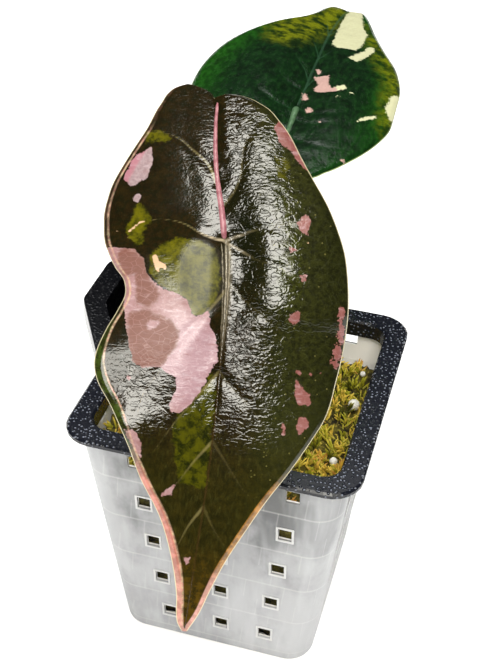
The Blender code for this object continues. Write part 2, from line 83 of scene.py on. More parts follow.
# Moss, perlite grains (x, y, radius) and crown, in mm
MOSS_LEVEL = 78.5
MOSS_LEFT_BANK = 9.0
MOSS_REAR_BANK = 4.0
MOSS_LUMP = 1.6
MOSS_LUMPS = 46
MOSS_SIDE_TOP = 74.0
MOSS_FOOT = 1.8
MOSS_GAP = 0.9
PERLITE = ((35.6, 20.7, 2.3), (35.0, -10.5, 1.5), (35.6, 36.0, 1.1), (-30.0, -31.0, 1.7), (-14.0, -34.5, 2.0),
           (14.0, 34.0, 2.1), (-24.0, 30.0, 1.8))
CROWN_FOOT = 58.0
CROWN_HEIGHT = 36.0
CROWN_FOOT_RADIUS = 7.5
CROWN_NARROWING = 1.9
CROWN_Y = 9.0

# The two sides of a leaf by the sign of their places across it
SIDES = {-1: "left", 1: "right"}

# Relief and thickness of a blade, in mm
BLADE_THICKNESS = 0.5
CREASE_WIDTH = 1.5
GROOVE_WIDTH = 0.9
GROOVE_DEPTH = 0.5
TIP_SINK = 0.4
FOLDED_BAND = 1.6

# Leaf blades: the solids' midlines and half widths, in mm along the midrib from the stalk, the tip positive
FRONT_LEAF = {
    "midline": {
        -50: (-15.4, 8.0, 206.0), -20: (-7.7, -12.8, 185.6), 0: (-1.2, -25.1, 171.2),
        40: (4.8, -49.2, 139.9), 80: (7.1, -71.3, 106.7), 121: (7.4, -91.7, 71.2),
    },
    "toward_right": (0.961, 0.275, 0.028),
    "notch": -43.8,
    "tip": 119.3,
    "vein_depth": 0.6,
    "margin_fold": 0.4,
    "left": {
        "lobe": (8.0, -49.1),
        "half_width": {
            -49.1: 8.0, -48.2: 11.8, -42.7: 16.6, -35.7: 20.6, -26.9: 27.2, -20: 32.4, -13: 35.6,
            -6: 36.2, 0: 35.4, 7.8: 33.0, 13: 30.2, 17.2: 29.7, 23.5: 31.8, 29.7: 34.6, 40.5: 37.0,
            45.6: 35.4, 51.5: 31.5, 63.5: 24.6, 73.3: 20.0, 84.8: 12.4, 97.3: 7.0, 108: 4.0, 116.5: 2.6,
            119.3: 0.8,
        },
    },
    "right": {
        "lobe": (5.0, -44.7),
        "half_width": {
            -44.7: 5.0, -43.9: 8.2, -40.8: 14.6, -35.3: 19.8, -23: 25.7, -12.7: 29.0, -4.9: 32.0,
            7: 35.8, 21.6: 36.8, 30.4: 36.3, 39.3: 35.0, 50.7: 32.4, 57.1: 29.0, 65.4: 24.3,
            76: 18.0, 86: 13.2, 95.9: 8.9, 105.3: 5.8, 113.5: 3.4, 119.3: 0.8,
        },
    },
}
BACK_LEAF = {
    "midline": {
        -50: (1.2, 13.6, 172.0), -20: (-0.5, 43.6, 173.6), 0: (-1.6, 63.5, 174.2), 40: (-4.0, 103.4, 174.4),
        80: (-6.0, 143.3, 172.3), 102: (-5.2, 165.1, 170.4), 113: (-4.2, 173.6, 165.0),
        121: (-3.8, 176.8, 157.8),
    },
    "toward_right": (-0.99, -0.057, 0.124),
    "notch": -42.0,
    "tip": 119.5,
    "vein_depth": 0.38,
    "margin_fold": 0.45,
    "left": {
        "lobe": (7.5, -47.5),
        "half_width": {
            -47.5: 7.5, -46.4: 11.6, -40: 17.5, -29.6: 24.0, -13: 31.0, 3: 34.0, 25: 34.0, 47: 30.0,
            61: 24.2, 85: 15.4, 99: 9.8, 107: 6.6, 114: 3.2, 119.5: 0.8,
        },
    },
    "right": {
        "lobe": (7.0, -46.0),
        "half_width": {
            -46: 7.0, -44.9: 11.5, -38: 19.5, -28: 28.5, -16: 35.0, -5.5: 37.7, 11: 39.2, 30: 37.1,
            51: 30.4, 68: 21.8, 81.5: 13.2, 90: 9.8, 99: 8.2, 107: 6.4, 114: 3.2, 119.5: 0.8,
        },
    },
}

# The valley on each side of the midrib, by place along the blade in mm: where its rise starts and ends,
# the rise, the fall beyond the crest, and the crest's distance from the midrib
FRONT_VALLEY = {
    -1: {
        -49: (0, 9, -0.3, 3.0, 4), -12: (0, 9, -0.35, 3.4, 4), 3: (0, 5.0, 1.1, 2.8, 10),
        20: (0, 5.0, 1.3, 2.8, 11), 38: (0, 13, 2.0, 1.6, 15), 55: (0, 13, 1.8, 1.2, 15),
        90: (0, 8, 0.6, 1.0, 15), 119: (0, 4, 0.1, 0.2, 15),
    },
    1: {
        -49: (-1, 3.5, 1.2, 3.0, 15), -31: (-1, 4, 1.3, 3.2, 15), -22: (-3, 9, 1.4, 3.6, 15),
        -10: (-2, 12, 2.3, 3.8, 15), 5: (3.5, 14, 2.8, 4.2, 15), 18: (3.5, 14, 2.6, 4.4, 15),
        28: (0, 12, 1.2, 4.8, 11), 44: (0, 9, 0.8, 4.6, 9), 60: (2, 10, 0.9, 3.6, 9),
        90: (0, 8, 0.5, 1.2, 9), 119: (0, 4, 0.1, 0.2, 15),
    },
}
BACK_VALLEY = {
    side: {-47: (-2, 12, 1.5, 2.6, 15), 10: (0, 14, 2.4, 3.2, 15), 60: (0, 10, 1.4, 2.0, 15),
           119: (0, 4, 0.1, 0.2, 15)}
    for side in SIDES
}

# Low swells: middle across and along, reach across and along, and height, in mm
FRONT_SWELLS = ((-7.5, 12.0, 6.0, 10.0, 0.6), (-26.0, 60.0, 9.0, 10.0, 2.5), (0.0, 0.0, 2.6, 2.6, -0.35),
                (15.0, -30.0, 9.0, 17.0, 0.9), (9.0, -43.0, 7.0, 12.0, 0.4))
BACK_SWELLS = ((0.0, 0.0, 2.8, 2.8, -0.3),)

# Main veins, as points (across, along) in mm; across is negative on the left side
FRONT_VEINS = (
    ((-0.3, -17), (-2.4, -23.3), (-7.2, -28.6), (-11, -32), (-15.5, -34), (-22, -35)),
    ((0, 0), (-3.5, -0.7), (-7.2, -2.8), (-11.5, -6.5), (-16.3, -8.8), (-22, -10), (-30, -13)),
    ((0, 15), (-4.8, 21.5), (-12.5, 30.5), (-17.4, 40), (-21.8, 48), (-23, 55)),
    ((0, 39), (-6, 47), (-12, 56), (-17, 65)),
    ((0, 60), (-5, 67), (-10, 76)),
    ((0, 80), (-3.5, 86), (-6, 93)),
    ((0.3, -10), (4.5, -14), (7.1, -19), (8.2, -26), (9.9, -30.7), (12.4, -34), (17, -37)),
    ((0, 0), (7.6, -1.6), (12.1, -2.2), (19.8, -2.7), (28, -6)),
    ((0, 0.6), (6, 4.3), (9.5, 6.4), (14.8, 8.2), (22, 12), (31, 19)),
    ((0, 12), (2.2, 14.3), (7.5, 19.1), (14.3, 23.8), (22, 31), (31, 42)),
    ((0, 39), (2.8, 42.5), (8.7, 47.5), (16, 55), (25, 63)),
    ((0, 60), (5, 66), (11, 73), (17, 77)),
    ((0, 80), (4, 86), (9, 92)),
)
BACK_VEINS = (
    ((0, -18), (-4, -24), (-12, -27), (-20, -25), (-28, -17)),
    ((0, -9), (-6, -12.5), (-13, -11), (-22, -4)),
    ((0, -1), (-6, -5), (-13.5, -3.5), (-22, 8), (-29, 20)),
    ((0, 14), (-3.7, 27), (-10, 35), (-20, 47)),
    ((0, 40), (-5, 52), (-11, 62)),
    ((0, 66), (-4, 78), (-8, 88)),
    ((0, -17), (6, -24), (14, -27), (24, -25)),
    ((0, -2), (5, -3.3), (13, -0.5), (19, 10), (24, 23), (27, 37)),
    ((0, 13), (5, 14), (10.7, 19), (18.5, 35)),
    ((0, 22), (3.1, 30), (8, 37), (15, 46), (20, 58)),
    ((0, 44), (4, 56), (9, 68)),
    ((0, 68), (3, 80), (6, 90)),
)

# Markings on the front leaf, as outlines (across, along) in mm
FRONT_PINK = (
    ((-40, -2), (-30.5, 0), (-27.3, 1), (-24.6, 5), (-23.5, 10), (-19.8, 14.6), (-14.1, 16.9), (-11.1, 18.6),
     (-9.4, 23.2), (-6.8, 23), (-4.6, 21.1), (-4.1, 26), (-2, 29), (-1.2, 32), (-0.8, 36), (-3.3, 39.7),
     (-4, 43), (-7.3, 49), (-9.8, 52), (-12.7, 52.2), (-14.1, 50), (-12.2, 46), (-12.6, 42), (-17.6, 39.3),
     (-22.8, 40), (-25.8, 38), (-27.3, 33), (-29, 26), (-30.1, 20), (-40, 14)),
    ((-19.3, -30), (-19.1, -26), (-20.6, -21.5), (-26.2, -19.6), (-28.1, -22), (-26, -26), (-23.5, -28.3)),
    ((-24.2, -17.9), (-23, -16.9), (-24.6, -15.4), (-25.7, -16.4)),
    ((18, -33.4), (20, -37), (30, -27), (28, -17), (24.3, -21.9), (22.7, -25.5), (19, -28.2)),
    ((24.5, -4.7), (25.6, -2.6), (24.4, 0.2), (22.4, -0.3), (21.3, -2.7)),
    ((18.9, 3.3), (21.2, 3.6), (21.2, 4.6), (18.9, 4.9)),
    ((21.7, 10.2), (23.8, 10.4), (23.4, 12.4), (22.6, 12.2)),
    ((19.3, 20.8), (22.4, 20), (22.3, 22.2), (20.7, 23.9), (19.1, 22.4)),
    ((34.5, 17.7), (36.2, 20), (36.6, 28.8), (34.9, 36), (33.4, 37.2), (33, 33), (34, 27), (33.1, 23.5)),
    ((22.9, 37.1), (24.2, 37.2), (23.9, 38.4), (22.9, 38.2)),
    ((26.5, 36.7), (27.6, 36.9), (27.3, 38.2), (26.6, 38)),
    ((30.2, 36.6), (31.3, 36.7), (31.1, 37.7), (30.2, 37.6)),
    ((23, 39.7), (25.2, 42), (27.2, 43.6), (27.9, 46.7), (24.2, 47.1), (22.4, 43.4)),
    ((24.7, 50), (26.7, 50.2), (28.3, 52.8), (25.3, 55.2), (24.1, 53)),
    ((19.7, 51.7), (21.2, 53.4), (21.4, 56), (20.2, 55.9)),
    ((-25.9, 59), (-23.6, 58.6), (-21, 61.6), (-20.2, 67.2), (-22.2, 65.1)),
    ((-12.9, 77.2), (-8.9, 73.3), (-10.3, 77.6), (-12.7, 78.4)),
    ((-3.3, 96.2), (-1.7, 95.7), (-2.1, 98.4), (-3, 98.2)),
    ((-26.9, 43), (-25.9, 42.9), (-26, 43.9), (-26.9, 43.8)),
)
FRONT_DUSK = (
    ((-31.4, 0.3), (-27.5, 0.9), (-24.6, 5), (-22.5, 12.1), (-19.4, 17.2), (-20.4, 19.1), (-22.6, 21.7),
     (-25.8, 20), (-26.6, 13), (-27, 10.7), (-30.4, 10.5), (-32.2, 5.1)),
    ((-27.9, 24), (-22.6, 22.4), (-20.1, 24), (-15.9, 24.9), (-12.8, 28.2), (-13.1, 32.4), (-17.7, 39.1),
     (-24.2, 39.7), (-26.6, 37), (-28.2, 27.7)),
)
FRONT_BLUSH = (
    ((-22.9, 26.4), (-21.2, 25.3), (-18.8, 25.8), (-19.3, 27.6), (-20.9, 28.9), (-22.7, 28.2)),
)
FRONT_LIME = (
    ((-24.9, -14.9), (-23.7, -15), (-22, -12.5), (-21.2, -9.7), (-24, -6.4), (-24.4, -0.7), (-26.6, -0.8),
     (-28.4, -4.4), (-29.2, -8.5), (-26.9, -11.9)),
    ((-20.5, -34), (-17.8, -34.9), (-13.6, -33.7), (-14, -31.1), (-18.4, -31.4), (-21.1, -31)),
    ((-18.8, -0.2), (-14.6, -2), (-8, -0.2), (-2.6, 3.6), (-1.6, 12), (-3, 19), (-6.8, 23.4), (-9.6, 23.2),
     (-11.1, 18.6), (-17.4, 15.8), (-22.8, 10.7), (-22.5, 3.8)),
    ((17.9, -24.1), (20.3, -24.1), (21.6, -21.2), (20.7, -15.2), (18.1, -15)),
    ((-3.3, 39.7), (-1.2, 41.2), (-0.4, 50), (-0.5, 66), (-0.2, 74.3), (-2.9, 74.6), (-8.6, 73), (-11, 64),
     (-12.3, 57), (-11, 52), (-8, 50), (-5, 45)),
)
FRONT_CREAM = (
    ((-21.9, 3.8), (-20.7, 3.6), (-19.6, 6.1), (-17.5, 7.4), (-17.8, 9.1), (-19.6, 8.1), (-19.9, 10.1),
     (-21, 8.7)),
    ((-28.6, -7.2), (-25.1, -9.8), (-21.5, -10.2), (-25, -9), (-28.2, -6.8)),
    ((-32.3, -8.4), (-31.7, -8.4), (-31.7, -7.8), (-32.3, -7.8)),
    ((-29.2, -5.5), (-28.7, -5.5), (-28.7, -4.9), (-29.2, -4.9)),
    ((24.1, 1.9), (24.6, 1.9), (24.6, 2.5), (24.1, 2.5)),
)

# Markings on the back leaf
BACK_CREAM = (
    ((-1, 106), (-6, 104.3), (-11.1, 84.4), (-14.5, 76.6), (-14.8, 62), (-13.1, 53.2), (-6, 54.1), (-3, 57.3),
     (-3, 70.4), (-2, 84.4)),
    ((-11.3, 45.1), (-15.9, 54.3), (-17.2, 61.6), (-19.7, 61.3), (-19.8, 55.7), (-15.1, 42)),
    ((-31.2, 23.8), (-36, 28.6), (-36, 8), (-32.6, 5.8), (-30, 12.3)),
    ((-22.1, -4.9), (-23.3, -0.9), (-27.5, 4.1), (-27.8, 2.4), (-24.6, -2.1)),
    ((-12.6, 8.4), (-13.5, 9), (-13, 9.8), (-12.4, 9.3)),
    ((-11.6, 13.0), (-14.9, 17.0), (-13.6, 19.6), (-10.9, 17.4)),
    ((-16.4, 13.3), (-17.6, 14), (-17.3, 15.1), (-16.5, 14.6)),
)
BACK_PINK = (
    ((-1.7, 24.8), (-7.1, 26.6), (-7.9, 18.8), (-9.8, 15.2), (-13.5, 19.1), (-14.6, 17.2), (-12.3, 13.3),
     (-7.2, 11.8), (-4, 12.6), (-3.3, 15.3), (-4.7, 17.7)),
    ((0.2, 11), (-1.5, 9.4), (-3.1, 5.7), (-2.3, 4.6), (-1, 4.7)),
    ((-1.4, 31.4), (-3.4, 30.6), (-3.7, 27.4), (-2.3, 27.4)),
    ((-3.3, -2.6), (-4.4, -0.2), (-5.6, -1.6), (-6.2, -4.2), (-4, -4.8)),
    ((-9.6, -11.8), (-10.5, -11.6), (-10.4, -10.6), (-9.6, -10.8)),
    ((-20.6, -32.2), (-22, -31.8), (-21.8, -30.8), (-20.8, -31.2)),
)
BACK_LIME = (
    ((24, 60), (12, 90), (4, 110), (-1, 110), (-1, 78), (5, 59), (12, 45), (19, 45)),
    ((-11, 88), (-24, 62), (-36, 32), (-36, -10), (-31, 0), (-29, 30), (-22, 50), (-14, 74)),
)


def operation(name, turned=False):
    """A Socket method that adds a Math node. Turned swaps the node's two values."""
    def method(self, other=0):
        first, second = (other, self) if turned else (self, other)
        return self.finish.node("ShaderNodeMath", {"operation": name}, {0: first, 1: second})
    return method


class Socket:
    """A value in a finish's node tree. Sums and products of it add the Math nodes."""

    def __init__(self, finish, plug):
        self.finish = finish
        self.plug = plug

    __add__ = operation("ADD")
    __radd__ = operation("ADD", turned=True)
    __sub__ = operation("SUBTRACT")
    __rsub__ = operation("SUBTRACT", turned=True)
    __mul__ = operation("MULTIPLY")
    __rmul__ = operation("MULTIPLY", turned=True)
    __truediv__ = operation("DIVIDE")
    __rtruediv__ = operation("DIVIDE", turned=True)
    __abs__ = operation("ABSOLUTE")
    most = operation("MAXIMUM")
    wave = operation("SINE")
    fraction = operation("FRACT")
    rounded_down = operation("FLOOR")
    root = operation("SQRT")

    def squared(self):
        return self * self

    def step(self, low, high):
        """Smooth step: 0 below low and 1 above high."""
        return self.finish.node("ShaderNodeMapRange", {"interpolation_type": "SMOOTHSTEP"},
                                {"Value": self, "From Min": low, "From Max": high})

    def near(self, middle, reach):
        """1 at the middle and 0 at the reach from it."""
        return 1 - abs(self - middle).step(0, reach)


class Finish:
    """A material with a Principled shader. Values that are the same all over are given at the start."""

    def __init__(self, name, **constants):
        self.material = bpy.data.materials.new(name)
        self.material.use_nodes = True
        self.tree = self.material.node_tree
        self.shader = self.tree.nodes["Principled BSDF"]
        for socket, value in constants.items():
            self.shader.inputs[socket.replace("_", " ").title().replace("Ior", "IOR")].default_value = value

    def node(self, kind, settings, inputs, output=0):
        """Add a node. Its settings come first, then the values or links of its sockets."""
        made = self.tree.nodes.new(kind)
        for name, value in settings.items():
            setattr(made, name, value)
        for name, value in inputs.items():
            self.join(value, made.inputs[name])
        return Socket(self, made.outputs[output])

    def join(self, value, socket):
        if isinstance(value, Socket):
            self.tree.links.new(value.plug, socket)
        else:
            socket.default_value = value

    def feed(self, **sockets):
        """Link or set the shader's own sockets."""
        for name, value in sockets.items():
            self.join(value, self.shader.inputs[name.replace("_", " ").title()])

    def place(self):
        """Where a point is on the piece, in metres."""
        return self.node("ShaderNodeTexCoord", {}, {}, "Object")

    def chart(self, name="leaf_chart"):
        return self.node("ShaderNodeUVMap", {"uv_map": name}, {})

    def leaf_places(self):
        """The leaf's chart, and from it the places across and along the leaf in mm."""
        chart = self.chart()
        across, along, _ = self.parts_of(chart)
        return chart, across * CHART_SPAN, along * CHART_SPAN

    def attribute(self, name):
        return self.node("ShaderNodeAttribute", {"attribute_name": name}, {}, "Fac")

    def stretched(self, vector, scale, turn=(0.0, 0.0, 0.0)):
        return self.node("ShaderNodeMapping", {}, {"Vector": vector, "Scale": scale, "Rotation": turn})

    def parts_of(self, vector):
        """The three numbers of a vector."""
        return [self.node("ShaderNodeSeparateXYZ", {}, {"Vector": vector}, axis) for axis in range(3)]

    def shifted(self, vector, place, scale, amount):
        """The vector with small random steps aside, for a pattern that isn't too regular."""
        drift = self.node("ShaderNodeTexNoise", {}, {"Vector": place, "Scale": scale}, "Color")
        steps = self.node("ShaderNodeVectorMath", {"operation": "SCALE"}, {0: drift, "Scale": amount})
        return self.node("ShaderNodeVectorMath", {"operation": "ADD"}, {0: vector, 1: steps})

    def cloud(self, vector, scale, detail=3.0, roughness=0.55, distortion=0.0):
        return self.node("ShaderNodeTexNoise", {}, {"Vector": vector, "Scale": scale, "Detail": detail,
                                                    "Roughness": roughness, "Distortion": distortion})

    def wander(self, vector, scale, detail, roughness, reach):
        """Noise about zero, over half the reach to each side at most."""
        return (self.cloud(vector, scale, detail, roughness) - 0.5) * reach

    def cells(self, vector, scale, feature="F1"):
        return self.node("ShaderNodeTexVoronoi", {"feature": feature}, {"Vector": vector, "Scale": scale},
                         "Distance")

    def mix(self, share, first, second, way="MIX"):
        """A colour between two colours."""
        first = first if isinstance(first, Socket) else (*first, 1.0)
        second = second if isinstance(second, Socket) else (*second, 1.0)
        return self.node("ShaderNodeMix", {"data_type": "RGBA", "blend_type": way},
                         {0: share, 6: first, 7: second}, 2)

    def layered(self, colour, *layers):
        """Lay tones over a colour one after another, each by its own share."""
        for share, tone in layers:
            colour = self.mix(share, colour, tone)
        return colour

    def bump(self, height, distance, strength):
        """A normal from a height, as a share of the distance in metres."""
        return self.node("ShaderNodeBump", {}, {"Height": height, "Distance": distance, "Strength": strength})


class Course:
    """A smooth run of values along a length, through a few stations."""

    def __init__(self, stations):
        self.places = np.array(sorted(stations), dtype=float)
        self.values = np.array([stations[place] for place in sorted(stations)], dtype=float)
        if self.values.ndim == 1:
            self.values = self.values[:, None]
        gaps = np.diff(self.places)[:, None]
        slopes = np.diff(self.values, axis=0) / gaps
        share = gaps[1:] / (gaps[:-1] + gaps[1:])
        middle = slopes[:-1] * share + slopes[1:] * (1 - share)
        steepest = 2 * np.minimum(abs(slopes[:-1]), abs(slopes[1:]))
        self.tangents = np.vstack((slopes[:1], np.clip(middle, -steepest, steepest), slopes[-1:]))

    def at(self, positions):
        positions = np.clip(np.atleast_1d(positions).astype(float), self.places[0], self.places[-1])
        index = np.clip(np.searchsorted(self.places, positions) - 1, 0, len(self.places) - 2)
        gap = (self.places[index + 1] - self.places[index])[:, None]
        t = (positions - self.places[index])[:, None] / gap
        low = (2 * t**3 - 3 * t**2 + 1) * self.values[index]
        low += (t**3 - 2 * t**2 + t) * gap * self.tangents[index]
        high = (3 * t**2 - 2 * t**3) * self.values[index + 1]
        high += (t**3 - t**2) * gap * self.tangents[index + 1]
        return low + high


def ease(values, low, high):
    """Smooth step on arrays."""
    share = np.clip((values - low) / (high - low), 0.0, 1.0)
    return share * share * (3 - 2 * share)


def unit(vectors):
    return vectors / np.linalg.norm(vectors, axis=1)[:, None]


def grain_field(points, scale, seed):
    """Smooth noise in -1 to 1 at rows of two numbers in mm."""
    return np.array([noise.noise(Vector((x / scale, y / scale, seed))) for x, y in points])


class Leaf:
    """A blade's surface: (across, along) in mm carried into space, with its relief."""

    def __init__(self, shape, veins, valley, swells, gloss, folds):
        self.shape = shape
        self.midline = Course(shape["midline"])
        self.outer = {side: Course(shape[name]["half_width"]) for side, name in SIDES.items()}
        self.lobe = {side: shape[name]["lobe"] for side, name in SIDES.items()}
        self.veins = [self.vein_course(points) for points in veins]
        self.valley = {side: Course(stations) for side, stations in valley.items()}
        self.swells = swells
        self.vein_depth = shape["vein_depth"]
        self.margin_fold = shape["margin_fold"]
        self.gloss = gloss
        self.folds = folds

    def vein_course(self, points):
        """Points closely spaced along a vein, with their share of the way to its end."""
        line = Course(dict(enumerate(points)))
        share = np.linspace(0, 1, 70)
        return np.hstack((line.at(share * (len(points) - 1)), share[:, None]))

    def frame(self, along):
        """Points of the midline in mm, with the directions to the blade's right and out of its upper face."""
        point = self.midline.at(along)
        tangent = unit(self.midline.at(along + 0.5) - self.midline.at(along - 0.5))
        right = np.array(self.shape["toward_right"])
        right = unit(right - tangent * (tangent @ right)[:, None])
        return point, right, np.cross(tangent, right)

    def half_width(self, side, along):
        return self.outer[side].at(along)[:, 0]

    def vein_distance(self, across, along):
        """Distance to the nearest vein in mm, and how far along that vein its nearest point is."""
        nearest = np.full(len(across), 1e9)
        share = np.zeros(len(across))
        for vein in self.veins:
            gaps = (across[:, None] - vein[None, :, 0]) ** 2 + (along[:, None] - vein[None, :, 1]) ** 2
            pick = gaps.argmin(axis=1)
            gap = np.sqrt(gaps[np.arange(len(across)), pick])
            closer = gap < nearest
            nearest[closer] = gap[closer]
            share[closer] = vein[pick[closer], 2]
        return nearest, share

    def relief(self, across, along, outer):
        """Height over the plane of the midrib, in mm."""
        height = np.zeros(len(across))
        # The fall beyond the crest and the creases fade towards both ends
        fade = np.maximum(1 - abs(along - 10) / 140, 0.15)
        for side, valley in self.valley.items():
            here = across * side >= 0
            start, end, rise, fall, crest = valley.at(along[here]).T
            away = abs(across[here])
            run = ease(away, start, end) - ease(np.zeros(len(away)), start, end)
            height[here] = rise * run - fall * np.maximum(away - crest, 0) ** 1.5 / 90 * fade[here]
        # Creases over the veins and a groove over the midrib, shallower at the left and low down
        nearest, share = self.vein_distance(across, along)
        shallow = (1 - 0.8 * ease(along, 44, 62)) * np.where(across < 0, 0.6, 1.0)
        height -= self.vein_depth * (1 - share**2) * np.exp(-((nearest / CREASE_WIDTH) ** 2)) * fade * shallow
        height -= GROOVE_DEPTH * np.exp(-((across / GROOVE_WIDTH) ** 2)) * (along > 0) * shallow
        for middle_across, middle_along, reach_across, reach_along, lift in self.swells:
            away = ((across - middle_across) / reach_across) ** 2
            away += ((along - middle_along) / reach_along) ** 2
            height += lift * np.exp(-away)
        height -= TIP_SINK * ease(along, 100, 116)
        margin = outer - abs(across)
        return height - self.margin_fold * np.maximum(FOLDED_BAND - margin, 0.0)

    def place(self, across, along, lift):
        """Points in metres. Lift is the height over the midrib's plane in mm."""
        point, right, normal = self.frame(along)
        return (point + right * across[:, None] + normal * lift[:, None]) * MM

    def surface(self, across, along, over=0.0):
        """Points on the upper skin without its fine crinkles, in metres."""
        across = np.asarray(across, dtype=float)
        along = np.asarray(along, dtype=float)
        outer = np.where(across < 0, self.half_width(-1, along), self.half_width(1, along))
        return self.place(across, along, self.relief(across, along, outer) + over)


def inside_field(points, outlines):
    """How far inside the nearest outline each point is, in mm; negative outside all of them."""
    field = np.full(len(points), -1e9)
    for outline in outlines:
        corners = np.array(outline, dtype=float)
        within = np.zeros(len(points), dtype=bool)
        nearest = np.full(len(points), 1e9)
        for start, end in zip(corners, np.roll(corners, -1, axis=0)):
            side = end - start
            share = np.clip(((points - start) @ side) / max(side @ side, 1e-9), 0.0, 1.0)
            nearest = np.minimum(nearest, np.linalg.norm(points - start - share[:, None] * side, axis=1))
            spans = (start[1] > points[:, 1]) != (end[1] > points[:, 1])
            if end[1] != start[1]:
                crossing = start[0] + (points[:, 1] - start[1]) * side[0] / side[1]
                within ^= spans & (points[:, 0] < crossing)
        field = np.maximum(field, np.where(within, nearest, -nearest))
    return field


def new_piece(name, mesh, finish, replaces):
    """A finished piece at the origin that rides on the plant's one body."""
    piece = bpy.data.objects.new(name, mesh)
    scene.collection.objects.link(piece)
    for one in finish if isinstance(finish, (list, tuple)) else [finish]:
        mesh.materials.append(one.material)
    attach(piece, "root")
    if replaces:
        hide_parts(*replaces)
    return piece


def mesh_of(builder, name, smooth=True):
    """A mesh from a bmesh, which is freed."""
    mesh = bpy.data.meshes.new(name)
    builder.to_mesh(mesh)
    builder.free()
    if smooth:
        mesh.shade_smooth()
    return mesh


def pour(part, whole):
    """Move the faces of one bmesh into another."""
    made = bpy.data.meshes.new("part")
    part.to_mesh(made)
    part.free()
    whole.from_mesh(made)
    bpy.data.meshes.remove(made)


def round_edges(builder, edges, offset, segments):
    """Bevel edges to a round. The offset is in the mesh's own units."""
    bmesh.ops.bevel(builder, geom=edges, offset=offset, offset_type="OFFSET", segments=segments,
                    profile=0.5, affect="EDGES", material=-1)


def applied(piece):
    """Turn the piece's modifiers into its mesh."""
    graph = bpy.context.evaluated_depsgraph_get()
    fine = bpy.data.meshes.new_from_object(piece.evaluated_get(graph), depsgraph=graph)
    old = piece.data
    piece.modifiers.clear()
    piece.data = fine
    bpy.data.meshes.remove(old)


def tube(builder, route, radii, sides):
    """Add a closed round tube along points in metres: a grid rolled up and merged at its seam and ends."""
    roll = bmesh.new()
    rows = len(route)
    bmesh.ops.create_grid(roll, x_segments=sides, y_segments=rows - 1, size=1.0)
    ways = [(Vector(ahead) - Vector(behind)).normalized()
            for behind, ahead in zip([route[0], *route[:-1]], [*route[1:], route[-1]])]
    across = [ways[0].orthogonal().normalized()]
    for way in ways[1:]:
        across.append((across[-1] - way * across[-1].dot(way)).normalized())
    uv = roll.loops.layers.uv.new("tube_chart")
    lengths = np.concatenate(([0.0], np.cumsum([(Vector(b) - Vector(a)).length
                                                for a, b in zip(route[:-1], route[1:])])))
    flat = {vertex: (vertex.co.x, vertex.co.y) for vertex in roll.verts}
    for face in roll.faces:
        for loop in face.loops:
            turn, run = flat[loop.vert]
            row = round((run + 1) / 2 * (rows - 1))
            loop[uv].uv = ((turn + 1) / 2, lengths[row] * 10)
    for vertex, (turn, run) in flat.items():
        row = round((run + 1) / 2 * (rows - 1))
        angle = (turn + 1) * math.pi
        out = across[row] * math.cos(angle) + ways[row].cross(across[row]) * math.sin(angle)
        vertex.co = Vector(route[row]) + out * radii[row]
    bmesh.ops.remove_doubles(roll, verts=roll.verts, dist=0.002 * MM)
    bmesh.ops.recalc_face_normals(roll, faces=roll.faces)
    pour(roll, builder)


def rounded_radii(radii, ends=3):
    """The radii, with a few at both ends drawn in to a round point."""
    radii = list(radii)
    for step in range(ends):
        share = math.sqrt(1 - (1 - step / ends) ** 2)
        radii[step] *= share
        radii[-1 - step] *= share
    return radii


def front_gloss(chart, margin):
    """Where the front leaf is puckered: strongest on both sides of the midrib above the middle, 0 to 1."""
    across, along = chart.T
    reach = np.where(across < 0, 10.0, 15.0)
    strong = np.exp(-(((across - 5) / reach) ** 2)) * (1 - ease(along, 46, 66))
    strong *= 1 - 0.8 * ease(-along, 26, 36) * (across < 0)
    lower_left = np.exp(-(((across + 22) / 10) ** 2) - ((along - 48) / 13) ** 2)
    smooth = 1 - 0.8 * np.exp(-(((across + 7.5) / 6) ** 2) - ((along - 12) / 11) ** 2)
    return np.clip(0.06 + strong * smooth + 0.8 * lower_left, 0.0, 1.0) * ease(margin, 1.0, 5.0)


def front_folds(chart):
    """Short puckers in mm, drawn out slantwise."""
    across, along = chart.T
    turned = np.column_stack(((across * 0.8 + along * 0.6) * 0.6, (along * 0.8 - across * 0.6) * 1.5))
    short = grain_field(turned, scale=2.4, seed=3.0)
    return 0.08 * short + 0.16 * grain_field(chart, scale=4.6, seed=8.0)


def back_gloss(chart, margin):
    """Where the back leaf is puckered: all over, most along its midrib."""
    across = chart[:, 0]
    return (0.3 + 0.4 * np.exp(-((across / 18) ** 2))) * ease(margin, 1.0, 4.0)


def back_folds(chart):
    return 0.25 * grain_field(chart, scale=5.5, seed=5.0)


def closer_at_ends(places, amount):
    """Places from -1 to 1 as shares from 0 to 1, drawn closer together near both ends by an amount."""
    share = (places + 1) / 2
    return (1 - amount) * share + amount * (1 - np.cos(np.pi * share)) / 2


